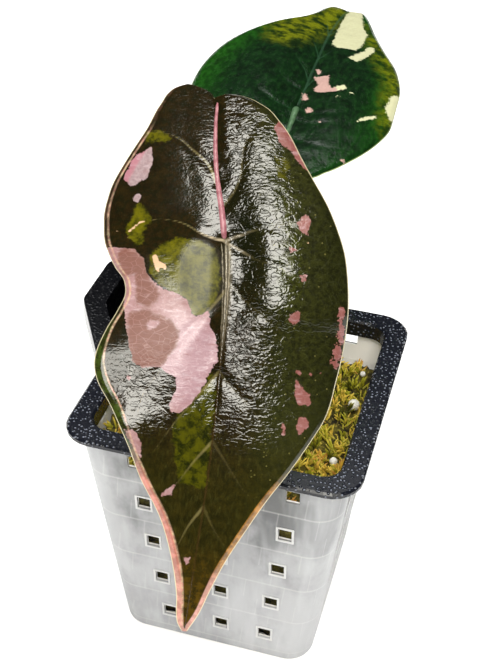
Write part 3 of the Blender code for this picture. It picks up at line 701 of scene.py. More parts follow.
def blade_piece(name, leaf, markings, finishes, node, columns, rows):
    """The blade as two fine half grids joined at the midrib, then given its thickness."""
    shape = leaf.shape
    furthest = min(leaf.lobe[-1][1], leaf.lobe[1][1])
    whole = bmesh.new()
    for side in SIDES:
        lobe_across, lobe_along = leaf.lobe[side]
        half = bmesh.new()
        bmesh.ops.create_grid(half, x_segments=columns, y_segments=rows, size=1.0)
        flat = np.array([vertex.co.xy for vertex in half.verts])
        share = closer_at_ends(flat[:, 0], 0.38)
        run = closer_at_ends(flat[:, 1], 0.3)
        along = furthest + (shape["tip"] - furthest) * run
        before = along < shape["notch"]
        stretch = (lobe_along - shape["notch"]) / (furthest - shape["notch"])
        along[before] = shape["notch"] + (along[before] - shape["notch"]) * stretch
        climb = np.clip((shape["notch"] - along) / (shape["notch"] - lobe_along), 0.0, 1.0)
        inner = lobe_across * climb**2
        outer = np.maximum(leaf.half_width(side, along), inner + 0.4)
        across = side * (inner + (outer - inner) * share)
        chart = np.column_stack((across, along))
        gloss = leaf.gloss(chart, outer - abs(across))
        lift = leaf.relief(across, along, outer) + leaf.folds(chart) * gloss
        places = leaf.place(across, along, lift)
        nearest, vein_share = leaf.vein_distance(across, along)
        fields = {field: inside_field(chart, outlines) for field, outlines in markings.items()}
        fields["margin"] = outer - abs(across)
        fields["crinkle"] = gloss
        # The lines of the veins get thinner towards their ends
        fields["vein"] = nearest + 0.5 * vein_share
        layers = {field: half.verts.layers.float.new(field) for field in fields}
        for vertex, place in zip(half.verts, places):
            vertex.co = place
        for field, layer in layers.items():
            for vertex, value in zip(half.verts, fields[field]):
                vertex[layer] = value
        uv = half.loops.layers.uv.new("leaf_chart")
        for face in half.faces:
            for loop in face.loops:
                loop[uv].uv = chart[loop.vert.index] / CHART_SPAN
        pour(half, whole)
    bmesh.ops.remove_doubles(whole, verts=whole.verts, dist=0.004 * MM)
    bmesh.ops.recalc_face_normals(whole, faces=whole.faces)
    upward = Vector(leaf.frame(np.array([0.0]))[2][0])
    if sum(face.normal.dot(upward) for face in whole.faces) < 0:
        bmesh.ops.reverse_faces(whole, faces=whole.faces)
    piece = new_piece(name, mesh_of(whole, name), finishes, (node,))
    shell = piece.modifiers.new("thickness", "SOLIDIFY")
    shell.thickness = BLADE_THICKNESS * MM
    shell.offset = 0.0
    shell.material_offset = 1
    shell.material_offset_rim = 2


def along_vein(leaf, points, start_radius, end_radius, over, sink):
    """Route and radii of a rib that follows points (across, along) at a height over the blade's skin."""
    line = Course(dict(enumerate(points)))
    share = np.linspace(0, 1, 36)
    flat = line.at(share * (len(points) - 1))
    radii = start_radius + (end_radius - start_radius) * share
    route = leaf.surface(flat[:, 0], flat[:, 1], over - sink * radii)
    return [Vector(point) for point in route], rounded_radii(radii * MM)


def rib_piece(name, leaf, runs, finish):
    builder = bmesh.new()
    for points, start_radius, end_radius, over, sink in runs:
        route, radii = along_vein(leaf, points, start_radius, end_radius, over, sink)
        tube(builder, route, radii, sides=10)
    new_piece(name, mesh_of(builder, name), finish, ())


def stalk_route(leaf, foot, lean, arrival, first_reach, last_reach):
    """Centre points of a stalk from its foot into the underside of the blade.

    It sets out along lean and comes in along the blade's normal, tipped towards the lobes by arrival. Each
    reach says over how many mm the direction at that end holds.
    """
    _, right, normal = leaf.frame(np.array([0.0]))
    toward_lobes = np.cross(normal, right)[0]
    start = np.array(foot)
    end = leaf.surface([0.0], [0.0], -0.35)[0] / MM
    way_in = normal[0] + toward_lobes * arrival
    first = start + np.array(lean) / np.linalg.norm(lean) * first_reach
    second = end - way_in / np.linalg.norm(way_in) * last_reach
    t = np.linspace(0, 1, 60)[:, None]
    route = start * (1 - t) ** 3 + first * 3 * t * (1 - t) ** 2 + second * 3 * t**2 * (1 - t) + end * t**3
    return [Vector(point) * MM for point in route]


def stalk_piece(name, route, finish, node):
    """A stalk 1.5 mm in radius under the blade, thicker below and flared at its foot."""
    share = np.linspace(0, 1, len(route))
    radii = 2.3 - 0.8 * share + 1.5 * np.exp(-((share / 0.16) ** 2)) + 0.5 * ease(share, 0.95, 1.0)
    # The first points are inside the stem
    radii[share < 0.04] -= 1.0
    builder = bmesh.new()
    tube(builder, route, rounded_radii(radii * MM, ends=2), sides=20)
    new_piece(name, mesh_of(builder, name), finish, (node,))


def crown_piece(finish):
    """The short stem in the moss, ringed by old leaf scars."""
    rows = 46
    draw = random.Random(4)
    heights = np.linspace(CROWN_FOOT, CROWN_FOOT + CROWN_HEIGHT, rows)
    radii = CROWN_FOOT_RADIUS - CROWN_NARROWING * (heights - CROWN_FOOT) / CROWN_HEIGHT
    radii = radii - 0.5 * np.abs(np.sin(heights * 0.9)) ** 3
    radii = [radius * draw.uniform(0.985, 1.0) * MM for radius in radii]
    builder = bmesh.new()
    tube(builder, [Vector((0, CROWN_Y + 0.3 * math.sin(height * 0.3), height)) * MM for height in heights],
         rounded_radii(radii, ends=5), sides=32)
    new_piece("crown_stem", mesh_of(builder, "crown_stem"), finish, ("crown",))


def pot_half(height):
    return POT_BASE_HALF + POT_TAPER * height


def window_places(row):
    """Middle of each window in a row: across the wall and up, in mm."""
    height = WINDOW_TOP_ROW - row * WINDOW_PITCH
    spread = WINDOW_COLUMN * (1 + WINDOW_SPREAD * height)
    return [(WINDOW_SHIFT + offset, height) for offset in (-spread, WINDOW_MIDDLE_SHIFT, spread)]


def pot_shell(finish):
    """The clear square pot: a block with rounded corners, tapered, opened and given its wall and holes."""
    builder = bmesh.new()
    bmesh.ops.create_cube(builder, size=2.0)
    for vertex in builder.verts:
        vertex.co = Vector((vertex.co.x * POT_BASE_HALF, vertex.co.y * POT_BASE_HALF,
                            (vertex.co.z + 1) / 2 * POT_HEIGHT)) * MM
    upright = [edge for edge in builder.edges if abs(edge.verts[0].co.z - edge.verts[1].co.z) > 1 * MM]
    round_edges(builder, upright, POT_CORNER * MM, 12)
    bmesh.ops.delete(builder, geom=[face for face in builder.faces if face.normal.z > 0.9], context="FACES")
    foot = [edge for edge in builder.edges if all(vertex.co.z < 0.1 * MM for vertex in edge.verts)]
    round_edges(builder, foot, POT_BASE_ROUND * MM, 4)
    straight = (POT_BASE_HALF - POT_CORNER) * MM
    for vertex in builder.verts:
        spread = POT_TAPER * vertex.co.z
        widen = (straight + spread) / straight
        for axis in (0, 1):
            if abs(vertex.co[axis]) > straight * 0.98:
                vertex.co[axis] += math.copysign(spread, vertex.co[axis])
            else:
                vertex.co[axis] *= widen
    bmesh.ops.recalc_face_normals(builder, faces=builder.faces)
    pot = new_piece("pot_shell", mesh_of(builder, "pot_shell"), finish, ("pot_body",))
    wall = pot.modifiers.new("wall", "SOLIDIFY")
    wall.thickness = POT_WALL * MM
    wall.offset = -1.0
    wall.use_even_offset = True
    cutters = []
    for turn in (0.0, 90.0):
        bars = bmesh.new()
        for row in range(WINDOW_ROWS):
            for across, height in window_places(row):
                size = (WINDOW_WIDTH * MM, 4 * POT_BASE_HALF * MM, WINDOW_HEIGHT * MM)
                placing = Matrix.Rotation(math.radians(turn), 4, "Z")
                placing = placing @ Matrix.Translation(Vector((across, 0, height)) * MM)
                bmesh.ops.create_cube(bars, size=1.0, matrix=placing @ Matrix.Diagonal((*size, 1.0)))
        cutters.append(bars)
    pegs = bmesh.new()
    for across in (-1, 1):
        for along in (-1, 1):
            place = Matrix.Translation(Vector((across, along, 0)) * DRAIN_OFFSET * MM)
            bmesh.ops.create_cone(pegs, cap_ends=True, segments=32, radius1=DRAIN_RADIUS * MM,
                                  radius2=DRAIN_RADIUS * MM, depth=4 * POT_WALL * MM, matrix=place)
    cutters.append(pegs)
    tools = []
    for index, cutter in enumerate(cutters):
        tool = bpy.data.objects.new(f"cutter_{index}", mesh_of(cutter, f"cutter_{index}", smooth=False))
        scene.collection.objects.link(tool)
        cut = pot.modifiers.new(f"cut_{index}", "BOOLEAN")
        cut.operation = "DIFFERENCE"
        cut.solver = "EXACT"
        cut.object = tool
        tools.append(tool)
    applied(pot)
    for tool in tools:
        bpy.data.objects.remove(tool)
    pot.data.shade_smooth()
    pot.data.set_sharp_from_angle(angle=math.radians(35))


def window_frames(finish):
    """A raised moulded frame round each window but the top row, sunk a little into the wall's outer face."""
    builder = bmesh.new()
    tilt = math.atan(POT_TAPER)
    for turn in range(4):
        for row in range(1, WINDOW_ROWS):
            for across, height in window_places(row):
                if turn >= 2:
                    across = -across
                surround = bmesh.new()
                bmesh.ops.create_grid(surround, x_segments=1, y_segments=1, size=0.5)
                size = (WINDOW_WIDTH + 2 * FRAME_BAND, WINDOW_HEIGHT + 2 * FRAME_BAND, 1.0)
                bmesh.ops.scale(surround, vec=size, verts=surround.verts)
                plate = surround.faces[:]
                bmesh.ops.inset_individual(surround, faces=plate, thickness=FRAME_BAND, use_even_offset=True)
                bmesh.ops.delete(surround, geom=plate, context="FACES")
                bmesh.ops.solidify(surround, geom=surround.faces[:], thickness=-FRAME_DEPTH)
                bmesh.ops.recalc_face_normals(surround, faces=surround.faces)
                corners = [edge for edge in surround.edges if edge.calc_face_angle(0) > 0.5]
                round_edges(surround, corners, FRAME_ROUND, 2)
                place = Matrix.Rotation(turn * math.pi / 2, 4, "Z")
                place = place @ Matrix.Translation((across, -pot_half(height) + FRAME_ROUND, height))
                place = place @ Matrix.Rotation(math.pi / 2 + tilt, 4, "X")
                place = Matrix.Scale(MM, 4) @ place
                bmesh.ops.transform(surround, matrix=place, verts=surround.verts)
                pour(surround, builder)
    new_piece("window_frames", mesh_of(builder, "window_frames"), finish, ())


def moss_lumps():
    draw = random.Random(11)
    span = pot_half(MOSS_LEVEL)
    return [(draw.uniform(-span, span), draw.uniform(-span, span), draw.uniform(3.5, 7.5),
             draw.uniform(-0.6, 1.0) * MOSS_LUMP) for _ in range(MOSS_LUMPS)]


def moss_height(x, y, lumps):
    """Lumpy surface in mm, banked up against the left and rear walls."""
    left = float(ease(-x, 18.0, 40.0))
    rear = float(ease(y, 20.0, 40.0))
    height = MOSS_LEVEL + MOSS_LEFT_BANK * left + MOSS_REAR_BANK * rear * (1 - left)
    for lump_x, lump_y, reach, amount in lumps:
        height += amount * math.exp(-((x - lump_x) ** 2 + (y - lump_y) ** 2) / reach**2)
    return height


def square_to_pot(u, v, half, corner):
    """A point of the unit square carried into the pot's rounded square."""
    reach = max(abs(u), abs(v))
    if reach == 0.0:
        return 0.0, 0.0
    x = u / reach * half
    y = v / reach * half
    straight = half - corner
    if abs(x) > straight and abs(y) > straight:
        dx = abs(x) - straight
        dy = abs(y) - straight
        shrink = max(dx, dy) / math.hypot(dx, dy)
        x = math.copysign(straight + dx * shrink, x)
        y = math.copysign(straight + dy * shrink, y)
    return x * reach, y * reach


def moss_bed(lumps, finish):
    """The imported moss: a lumpy pitted top and rough sides that press near the walls."""
    cells = 90
    half = pot_half(MOSS_LEVEL) - POT_WALL - 0.6
    corner = POT_CORNER - POT_WALL
    builder = bmesh.new()
    bmesh.ops.create_grid(builder, x_segments=cells, y_segments=cells, size=1.0)
    for vertex in builder.verts:
        x, y = square_to_pot(vertex.co.x, vertex.co.y, half, corner)
        pit = 1.3 * noise.fractal(Vector((x, y, 0.0)) / 2.6, 0.8, 2.0, 3)
        height = moss_height(x, y, lumps) - 1.2 + pit
        widen = 1 + (height - MOSS_LEVEL) * POT_TAPER / half
        vertex.co = Vector((x * widen, y * widen, height)) * MM
    edges = [edge for edge in builder.edges if edge.is_boundary]
    for low in np.linspace(MOSS_SIDE_TOP, MOSS_FOOT, 26):
        side = bmesh.ops.extrude_edge_only(builder, edges=edges)["geom"]
        edges = [part for part in side if isinstance(part, bmesh.types.BMEdge)]
        for vertex in [part for part in side if isinstance(part, bmesh.types.BMVert)]:
            share = (pot_half(low) - POT_WALL - MOSS_GAP) / (pot_half(vertex.co.z / MM) - POT_WALL - MOSS_GAP)
            rough = 1 - 0.008 * (1 + noise.noise(Vector((vertex.co.x, vertex.co.y, low * MM)) / (4 * MM)))
            vertex.co = Vector((vertex.co.x * share * rough, vertex.co.y * share * rough, low * MM))
    bmesh.ops.contextual_create(builder, geom=edges)
    bmesh.ops.recalc_face_normals(builder, faces=builder.faces)
    new_piece("moss_bed", mesh_of(builder, "moss_bed"), finish, ("sphagnum_moss",))


def moss_tuft(draw, leaflets):
    """A short curved sprig of fleshy pointed leaflets, about 7 mm long, growing up from the origin."""
    builder = bmesh.new()
    tone = builder.verts.layers.float.new("tone")
    lean = draw.uniform(0.15, 0.7)
    for index in range(leaflets):
        share = index / (leaflets - 1)
        length = draw.uniform(1.5, 2.5) * (1.1 - 0.45 * share)
        width = draw.uniform(0.45, 0.75)
        leaflet = bmesh.ops.create_uvsphere(builder, u_segments=5, v_segments=5, radius=1.0)["verts"]
        curl = draw.uniform(0.15, 0.6)
        twist = draw.uniform(-0.5, 0.5)
        for vertex in leaflet:
            run = (vertex.co.z + 1) / 2
            narrow = width * (1.15 - 0.75 * run)
            place = Vector((vertex.co.x * narrow, vertex.co.y * 0.28 - curl * (run * run) * length * 0.6,
                            run * 2 * length))
            vertex.co = Matrix.Rotation(twist * run, 3, "Z") @ place
            vertex[tone] = 0.3 * run + draw.uniform(-0.04, 0.04)
        tilt = Matrix.Rotation(-draw.uniform(0.5, 1.15) * (1.1 - 0.8 * share), 4, "X")
        spiral = Matrix.Rotation(index * 2.4 + draw.uniform(-0.3, 0.3), 4, "Z")
        lift = Matrix.Translation((lean * share * 3.0, 0, share * 4.2))
        bmesh.ops.transform(builder, matrix=lift @ spiral @ tilt, verts=leaflet)
    bmesh.ops.scale(builder, vec=(MM, MM, MM), verts=builder.verts)
    return mesh_of(builder, "tuft")


def moss_fronds(name, lumps, finish, seed, count):
    """Sprigs of moss all over the bed, leaning and turned every way."""
    draw = random.Random(seed)
    sprigs = [moss_tuft(draw, 8) for _ in range(9)]
    half = pot_half(MOSS_LEVEL) - POT_WALL - 0.8
    whole = bmesh.new()
    for _ in range(count):
        u = draw.uniform(-1, 1)
        v = draw.uniform(-1, 1)
        x, y = square_to_pot(u, v, half - 1.0, POT_CORNER - POT_WALL)
        size = draw.uniform(0.85, 1.4)
        tilt = Matrix.Rotation(abs(draw.gauss(0.0, 0.75)), 4, "X")
        spin = Matrix.Rotation(draw.uniform(0, math.tau), 4, "Z")
        roll = Matrix.Rotation(draw.uniform(0, math.tau), 4, "Z")
        inward = Vector((-x, -y, 0.0)) * (0.5 * max(abs(u), abs(v)) ** 6 / 40)
        base = Vector((x, y, moss_height(x, y, lumps) - 3.2)) * MM
        if math.hypot(x, y - CROWN_Y) < 6.5:
            continue
        if any(math.hypot(x - px, y - py) < radius + 1.5 for px, py, radius in PERLITE):
            continue
        sprig = draw.choice(sprigs).copy()
        push = Matrix.Translation(base + inward * 2 * MM)
        sprig.transform(push @ spin @ tilt @ roll @ Matrix.Scale(size, 4))
        points = len(sprig.vertices)
        tones = np.zeros(points, dtype=np.float32)
        sprig.attributes["tone"].data.foreach_get("value", tones)
        sprig.attributes["tone"].data.foreach_set("value", tones + np.float32(draw.uniform(0.0, 0.7)))
        places = np.zeros(points * 3, dtype=np.float32)
        sprig.vertices.foreach_get("co", places)
        places = places.reshape(-1, 3)
        room = (pot_half(places[:, 2] / MM) - POT_WALL - 0.25) * MM
        places[:, 0] = np.clip(places[:, 0], -room, room)
        places[:, 1] = np.clip(places[:, 1], -room, room)
        sprig.vertices.foreach_set("co", places.ravel())
        whole.from_mesh(sprig)
        bpy.data.meshes.remove(sprig)
    for sprig in sprigs:
        bpy.data.meshes.remove(sprig)
    new_piece(name, mesh_of(whole, name), finish, ())


def perlite_grains(lumps, finish):
    for index, (x, y, radius) in enumerate(PERLITE, start=1):
        builder = bmesh.new()
        bmesh.ops.create_icosphere(builder, subdivisions=4, radius=1.0)
        place = Vector((x, y, moss_height(x, y, lumps) + 0.6 * radius))
        for vertex in builder.verts:
            way = vertex.co.normalized()
            rough = 0.93 + 0.05 * noise.noise(way * 1.6 + Vector((index, 0, 0)))
            rough += 0.025 * noise.noise(way * 6)
            vertex.co = (place + way * radius * rough) * MM
        new_piece(f"perlite_grain_{index}", mesh_of(builder, f"perlite_grain_{index}"), finish,
                  (f"perlite_{index}",))


# Tones of the front leaf as red, green and blue. A pair is the two ends of a mottled tone
BRONZE = (0.0058, 0.0034, 0.001), (0.014, 0.0088, 0.002)
OLIVE = (0.0085, 0.0095, 0.002), (0.025, 0.026, 0.005)
LOW_OLIVE = (0.0095, 0.0088, 0.001), (0.021, 0.017, 0.002)
TIP_BROWN = (0.026, 0.016, 0.0014), (0.066, 0.036, 0.0028)
LIME = (0.02, 0.02, 0.0012), (0.085, 0.078, 0.002)
LOW_LIME = (0.0055, 0.0075, 0.0008), (0.044, 0.043, 0.0014)
ROSE = (0.24, 0.11, 0.096), (0.33, 0.175, 0.165)
DUSTY_ROSE = (0.12, 0.046, 0.026), (0.24, 0.112, 0.072)
DEEP_ROSE = (0.17, 0.058, 0.046), (0.28, 0.12, 0.095)
MAUVE = (0.22, 0.13, 0.125), (0.34, 0.245, 0.235)
PINK_TINT = (0.78, 0.8, 0.86), (0.7, 0.58, 0.62)
VEIN_CREAM = (0.19, 0.155, 0.06), (0.42, 0.34, 0.22)
MIDRIB = (0.36, 0.31, 0.22), (0.03, 0.017, 0.0042)
FOLD_TOP = (0.38, 0.274, 0.167), (0.319, 0.129, 0.114)
FOLD_GREEN = (0.016, 0.031, 0.004), (0.044, 0.062, 0.009)
FOLD_PINK = (0.471, 0.182, 0.167), (0.38, 0.152, 0.091)
FOLD_BROWN = (0.13, 0.058, 0.008), (0.33, 0.15, 0.03)
FOLD_CREASE = (0.471, 0.38, 0.228), (0.426, 0.205, 0.167)

# Tones of the back leaf
BLUE_GREEN = (0.0008, 0.0042, 0.0012), (0.0028, 0.015, 0.003)
RIM_GREEN = (0.004, 0.03, 0.0014), (0.008, 0.062, 0.0022)
YELLOW_GREEN = (0.01, 0.022, 0.001), (0.105, 0.118, 0.0024)
SALMON = (0.31, 0.18, 0.155), (0.42, 0.28, 0.24)
IVORY = (0.36, 0.36, 0.2), (0.48, 0.47, 0.31)


def front_skin():
    """Upper face of the front leaf: dark bronze green with pink, lime and cream, glossy and puckered."""
    skin = Finish("front_leaf_upper", specular_ior_level=0.62)
    chart, across, along = skin.leaf_places()
    wobble = skin.wander(chart, 34, 4, 0.65, 2.6)
    ragged = skin.wander(chart, 150, 2, 0.6, 0.9)
    mottle = skin.cloud(chart, 14, 5, 0.65)
    patches = skin.cloud(chart, 30, 5, 0.7)
    fine = skin.cloud(chart, 90, 4, 0.7)
    dark = skin.cloud(chart, 60, 4, 0.7)
    slanting = skin.cloud(skin.stretched(chart, (1.8, 0.5, 1), (0, 0, -0.5)), 70, 3, 0.6)
    net = skin.cells(skin.stretched(chart, (1, 1.4, 1), (0, 0, 0.456)), 36, "DISTANCE_TO_EDGE")
    net_line = 1 - net.step(0, 0.035)
    patchy = patches.step(0.3, 0.7)
    grained = fine.step(0.3, 0.7)
    vein = skin.attribute("vein")
    margin = skin.attribute("margin")
    left = 1 - across.step(-1, 0)

    # Where the markings are, with wavering outlines that break up at the right margin
    broken = across.step(29, 31.5)
    spots = skin.attribute("pink") + wobble * (1 + broken * 2.2) + ragged * (1 + broken) - broken * 0.45
    pink = spots.step(-0.12, 0.12)
    dusk = (skin.attribute("dusk") + wobble).step(-0.9, 0.7)
    blush = (skin.attribute("blush") + wobble * 1.4).step(-0.5, 0.5)
    dusky = dusk * (1 - blush)
    lime = (skin.attribute("lime") + wobble * 1.5 + ragged).step(-0.5, 0.6)
    lime = lime * (1 - across.step(8, 14) * 0.55)
    cream = (skin.attribute("cream") + wobble * 0.35 + ragged * 0.8 - 0.05).step(-0.12, 0.12)

    # Ground: bronze at the left, olive at the right and below, brown at the tip
    right_side = (across * 0.05 - 0.55 + mottle * 0.6).step(0, 0.7)
    centre = across.near(6, 10) * along.near(-2, 34)
    olive = (across + (mottle - 0.5) * 10).near(19.5, 5) * along.near(4, 26)
    shade = (1 - dark.step(0.4, 0.56)) * (0.75 - along.step(36, 56) * 0.55)
    specks = 1 - skin.cells(chart, 40).step(0.05, 0.13)
    ground = skin.layered(
        skin.mix(patchy, *BRONZE),
        (right_side, skin.mix(patches, *OLIVE)),
        (across.step(25, 33) * 0.5, (0.007, 0.008, 0.0018)),
        (along.step(50, 75) * 0.8, skin.mix(patchy, *LOW_OLIVE)),
        (slanting.step(0.52, 0.66) * along.step(44, 60) * 0.35, (0.036, 0.034, 0.007)),
        (along.step(88, 110) * 0.8, skin.mix(patches.step(0.4, 0.6), *TIP_BROWN)),
        (centre * 0.8, (0.003, 0.005, 0.0014)),
        (olive * 0.75, (0.03, 0.034, 0.002)),
        (fine.step(0.5, 0.8) * 0.35, (0.026, 0.023, 0.006)),
        (shade, (0.006, 0.0062, 0.0016)),
        (specks * across.step(6, 16) * 0.6, (0.13, 0.115, 0.035)),
    )

    # Lime: bright beside the midrib, darker in the patch below
    lime_tone = skin.layered(
        skin.mix(patches.step(0.35, 0.62), *LIME),
        (fine.step(0.62, 0.78) * 0.5, (0.17, 0.16, 0.01)),
        (along.step(32, 40) * 0.85, skin.mix(patches.step(0.35, 0.65), *LOW_LIME)),
    )

    # Pink: rose at the left, mauve high up, dusty in two fields and deeper in the spots at the right
    bright = 1 - ((across + 8).squared() + (along - 37).squared()).step(60, 330)
    rose = skin.layered(
        skin.mix(patches.step(0.25, 0.75), *ROSE),
        (bright * 0.8, (0.35, 0.205, 0.215)),
        (fine.step(0.52, 0.72) * 0.6, (0.52, 0.385, 0.375)),
    )
    deep_edge = (across * -0.8 - along * 0.6 + ragged).step(33.6, 34.8)
    mauve = skin.mix(deep_edge, skin.mix(grained, *MAUVE), (0.34, 0.125, 0.145))
    streak = skin.cloud(skin.stretched(chart, (0.5, 1.7, 1), (0, 0, 0.75)), 46, 4, 0.65, 0.4)
    pink_tone = skin.layered(
        rose,
        (across.step(-2, 4), skin.mix(mottle, *DEEP_ROSE)),
        (left * (1 - along.step(-16, -8)), mauve),
        (dusky, skin.mix(grained, *DUSTY_ROSE)),
        (streak.step(0.5, 0.7) * 0.55, (0.5, 0.38, 0.37)),
        ((1 - streak.step(0.28, 0.44)) * 0.5, (0.22, 0.075, 0.06)),
        (dusky * 0.85, (0.145, 0.036, 0.018)),
    )
    pink_tone = skin.layered(
        skin.mix(1, pink_tone, skin.mix(across.step(8, 14), *PINK_TINT), "MULTIPLY"),
        (net_line * (0.13 + dusk * 0.05), (0.52, 0.345, 0.33)),
        ((1 - vein.step(0.1, 0.5)) * 0.6, (0.456, 0.182, 0.205)),
    )

    # Pale lines: main veins, and the midrib with a finer line on each side of it; near the stalk a pale band
    # over the midrib that is partly its own pale tone and partly painted sheen
    main_line = 1 - vein.step(0.15, 0.8)
    near_stalk = 1 - (across.squared() + along.squared()).step(4, 110)
    line_share = 0.12 + left * 0.38 + (1 - along.step(-6, 0)) * 0.16 + near_stalk * 0.25
    drift = across + skin.wander(skin.stretched(chart, (1, 0.4, 1)), 90, 2, 0.55, 0.7)
    # Pale band over the midrib near the stalk: partly its own pale tone, partly painted sheen
    pale_midrib_and_sheen = (1 - abs(across - 0.7).step(0.6, 1.6)) * (1 - along.step(14, 40)) * 0.26
    beside = abs(drift).near(1.25 - along * 0.024, 0.3) * (1 - along.step(26, 38))
    midrib = ((1 - abs(drift).step(0.1, 0.42)) * 0.9).most(pale_midrib_and_sheen) + beside * dark.step(0.3, 0.55) * 0.75
    colour = skin.layered(
        ground,
        (lime, lime_tone),
        (pink, pink_tone),
        (cream, (0.471, 0.304, 0.182)),
        (net_line * 0.13 * across.step(12, 22) * (1 - pink), (0.062, 0.068, 0.036)),
        (main_line * line_share * (1 - pink), skin.mix(near_stalk, *VEIN_CREAM)),
        (midrib * along.step(0.6, 2.4) * 0.8, skin.mix(along.step(8, 40), *MIDRIB)),
    )

    # Folded margin, mostly at the left and below, with its crease and its pale outer edge
    low_part = along.step(62, 74)
    width = 1.35 + left * along.near(47, 21) * 2
    width = width + low_part * (0.5 + left * 0.4) * (1 - along.step(98, 110) * 0.6)
    fold = 1 - (margin - width).step(-0.15, 0.15)
    fold_share = (left * (0.12 + 0.78 * along.step(20, 35))).most(low_part)
    fold_share = fold_share * (0.25 + low_part * 0.35 + (0.75 - low_part * 0.35) * patches.step(0.42, 0.6))
    fold_tone = skin.layered(
        skin.mix(patchy, *FOLD_TOP),
        (along.step(10, 30), skin.mix(patches, *FOLD_GREEN)),
        (low_part * left, skin.mix(fine, *FOLD_PINK)),
        (low_part * (1 - left), skin.mix(patchy, *FOLD_BROWN)),
        (along.step(96, 104), (0.456, 0.213, 0.167)),
    )
    crease = (margin - width).near(0.15, 0.55) * left * along.step(-40, -30)
    colour = skin.layered(
        colour,
        (fold * fold_share, fold_tone),
        (crease * (0.3 + 0.6 * patches.step(0.4, 0.6)), skin.mix(fine.step(0.4, 0.6), *FOLD_CREASE)),
        (1 - margin.step(0.12, 0.38), (0.502, 0.441, 0.274)),
    )

    # Puckers and gloss: grit at the upper left, silky on the oval swell, duller on the pink
    slant = skin.stretched(chart, (0.5, 1.3, 1), (0, 0, 0.62))
    ripple = skin.cloud(slant, 44, 3, 0.5, 0.6)
    cracks = skin.cells(skin.shifted(slant, chart, 40, 0.03), 52, "DISTANCE_TO_EDGE")
    groove = 1 - cracks.step(0, 0.2)
    right = across.step(2, 8)
    upper_left = left * (1 - along.step(-6, 0))
    grit = skin.cloud(chart, 150, 2, 0.5)
    pucker = (ripple * (1 - right * 0.38) - groove * (0.2 + right * 0.12)) * (1 - upper_left * 0.32)
    height = pucker * (0.05 + skin.attribute("crinkle") * 0.95) + fine * 0.025 + grit * upper_left * 0.12
    oval = (across + 7).squared() / 44 + (along - 11.5).squared() / 130
    silky = 1 - oval.step(0.4, 1.7)
    roughness = 0.09 + fine * 0.05 + pink * (0.2 + dusk * 0.16) + silky * 0.38
    skin.feed(base_color=colour, roughness=roughness, normal=skin.bump(height, 0.24 * MM, 1))
    return skin


def back_skin():
    """Upper face of the back leaf: blue-green, brighter at its margins, with cream and pink patches."""
    skin = Finish("back_leaf_upper")
    chart, across, along = skin.leaf_places()
    wobble = skin.wander(chart, 30, 4, 0.65, 3.2)
    ragged = skin.wander(chart, 120, 3, 0.65, 2.4)
    mottle = skin.cloud(chart, 16, 5, 0.65)
    fine = skin.cloud(chart, 80, 4, 0.7)
    streaks = skin.cloud(skin.stretched(chart, (1, 0.35, 1), (0, 0, 0.6)), 60, 4, 0.6)
    margin = skin.attribute("margin")
    rim = (1 - (margin + wobble).step(1, 15)) * (0.25 + along.step(-22, 10) * 0.65)
    lime = (skin.attribute("lime") + wobble * 2).step(-6, 5)
    pink = (skin.attribute("pink") + wobble * 0.4 + ragged).step(-0.2, 0.2)
    cream = (skin.attribute("cream") + wobble * 0.7 + ragged).step(-0.2, 0.2)
    midrib = (1 - abs(across + 0.3).step(0.2, 0.8)) * along.step(0, 3) * (1 - cream)
    colour = skin.layered(
        skin.mix(mottle.step(0.3, 0.7), *BLUE_GREEN),
        (rim, skin.mix(streaks.step(0.4, 0.6), *RIM_GREEN)),
        (lime, skin.mix(mottle.step(0.4, 0.6), *YELLOW_GREEN)),
        (streaks.step(0.46, 0.66) * (0.3 - lime * 0.26), (0.01, 0.045, 0.008)),
        ((1 - mottle.step(0.34, 0.5)) * 0.45, (0.0022, 0.0075, 0.0016)),
        (pink, skin.mix(fine, *SALMON)),
        (cream, skin.mix(fine, *IVORY)),
        ((1 - skin.attribute("vein").step(0.1, 0.6)) * 0.5, (0.025, 0.075, 0.035)),
        (midrib * 0.5, (0.022, 0.058, 0.03)),
        (1 - margin.step(0.1, 0.4), (0.24, 0.28, 0.12)),
    )
    height = streaks * (0.8 - lime * 0.5) + fine * 0.2
    skin.feed(base_color=colour, roughness=0.18 + fine * 0.07, normal=skin.bump(height, 0.36 * MM, 1))
    return skin


def under_skin(name, tint, patch):
    """Lower face of a leaf: paler and duller, the markings showing through."""
    skin = Finish(name, roughness=0.55)
    chart = skin.chart()
    wobble = skin.wander(chart, 34, 4, 0.65, 2.6)
    mottle = skin.cloud(chart, 22, 5, 0.6)
    net_line = 1 - skin.cells(chart, 42, "DISTANCE_TO_EDGE").step(0, 0.09)
    spots = (skin.attribute("pink").most(skin.attribute("cream")) + wobble).step(-0.3, 0.3)
    colour = skin.layered(
        skin.mix(mottle.step(0.3, 0.7), tint, [value * 1.5 for value in tint]),
        (spots, patch),
        (net_line * 0.35, (0.3, 0.34, 0.16)),
        (1 - skin.attribute("vein").step(0.3, 1), (0.34, 0.36, 0.16)),
    )
    skin.feed(base_color=colour, normal=skin.bump(net_line + mottle * 0.4, 0.25 * MM, 0.6))
    return skin


def edge_skin(name, colour):
    skin = Finish(name, roughness=0.45)
    tone = skin.cloud(skin.chart(), 40)
    skin.feed(base_color=skin.mix(tone, colour, [value * 0.75 for value in colour]))
    return skin


def stalk_skin(name, low, high):
    """A leaf stalk: green with short darker mottling along its length."""
    skin = Finish(name, roughness=0.42)
    chart = skin.chart("tube_chart")
    place = skin.place()
    bars = skin.cloud(skin.stretched(chart, (7, 1, 1)), 26, 3, 0.6, 0.6)
    tone = skin.cloud(place, 140)
    colour = skin.mix(tone, low, high)
    colour = skin.mix(bars.step(0.52, 0.66) * 0.75, colour, (0.05, 0.035, 0.018))
    skin.feed(base_color=colour, normal=skin.bump(bars + tone, 0.15 * MM, 0.5))
    return skin


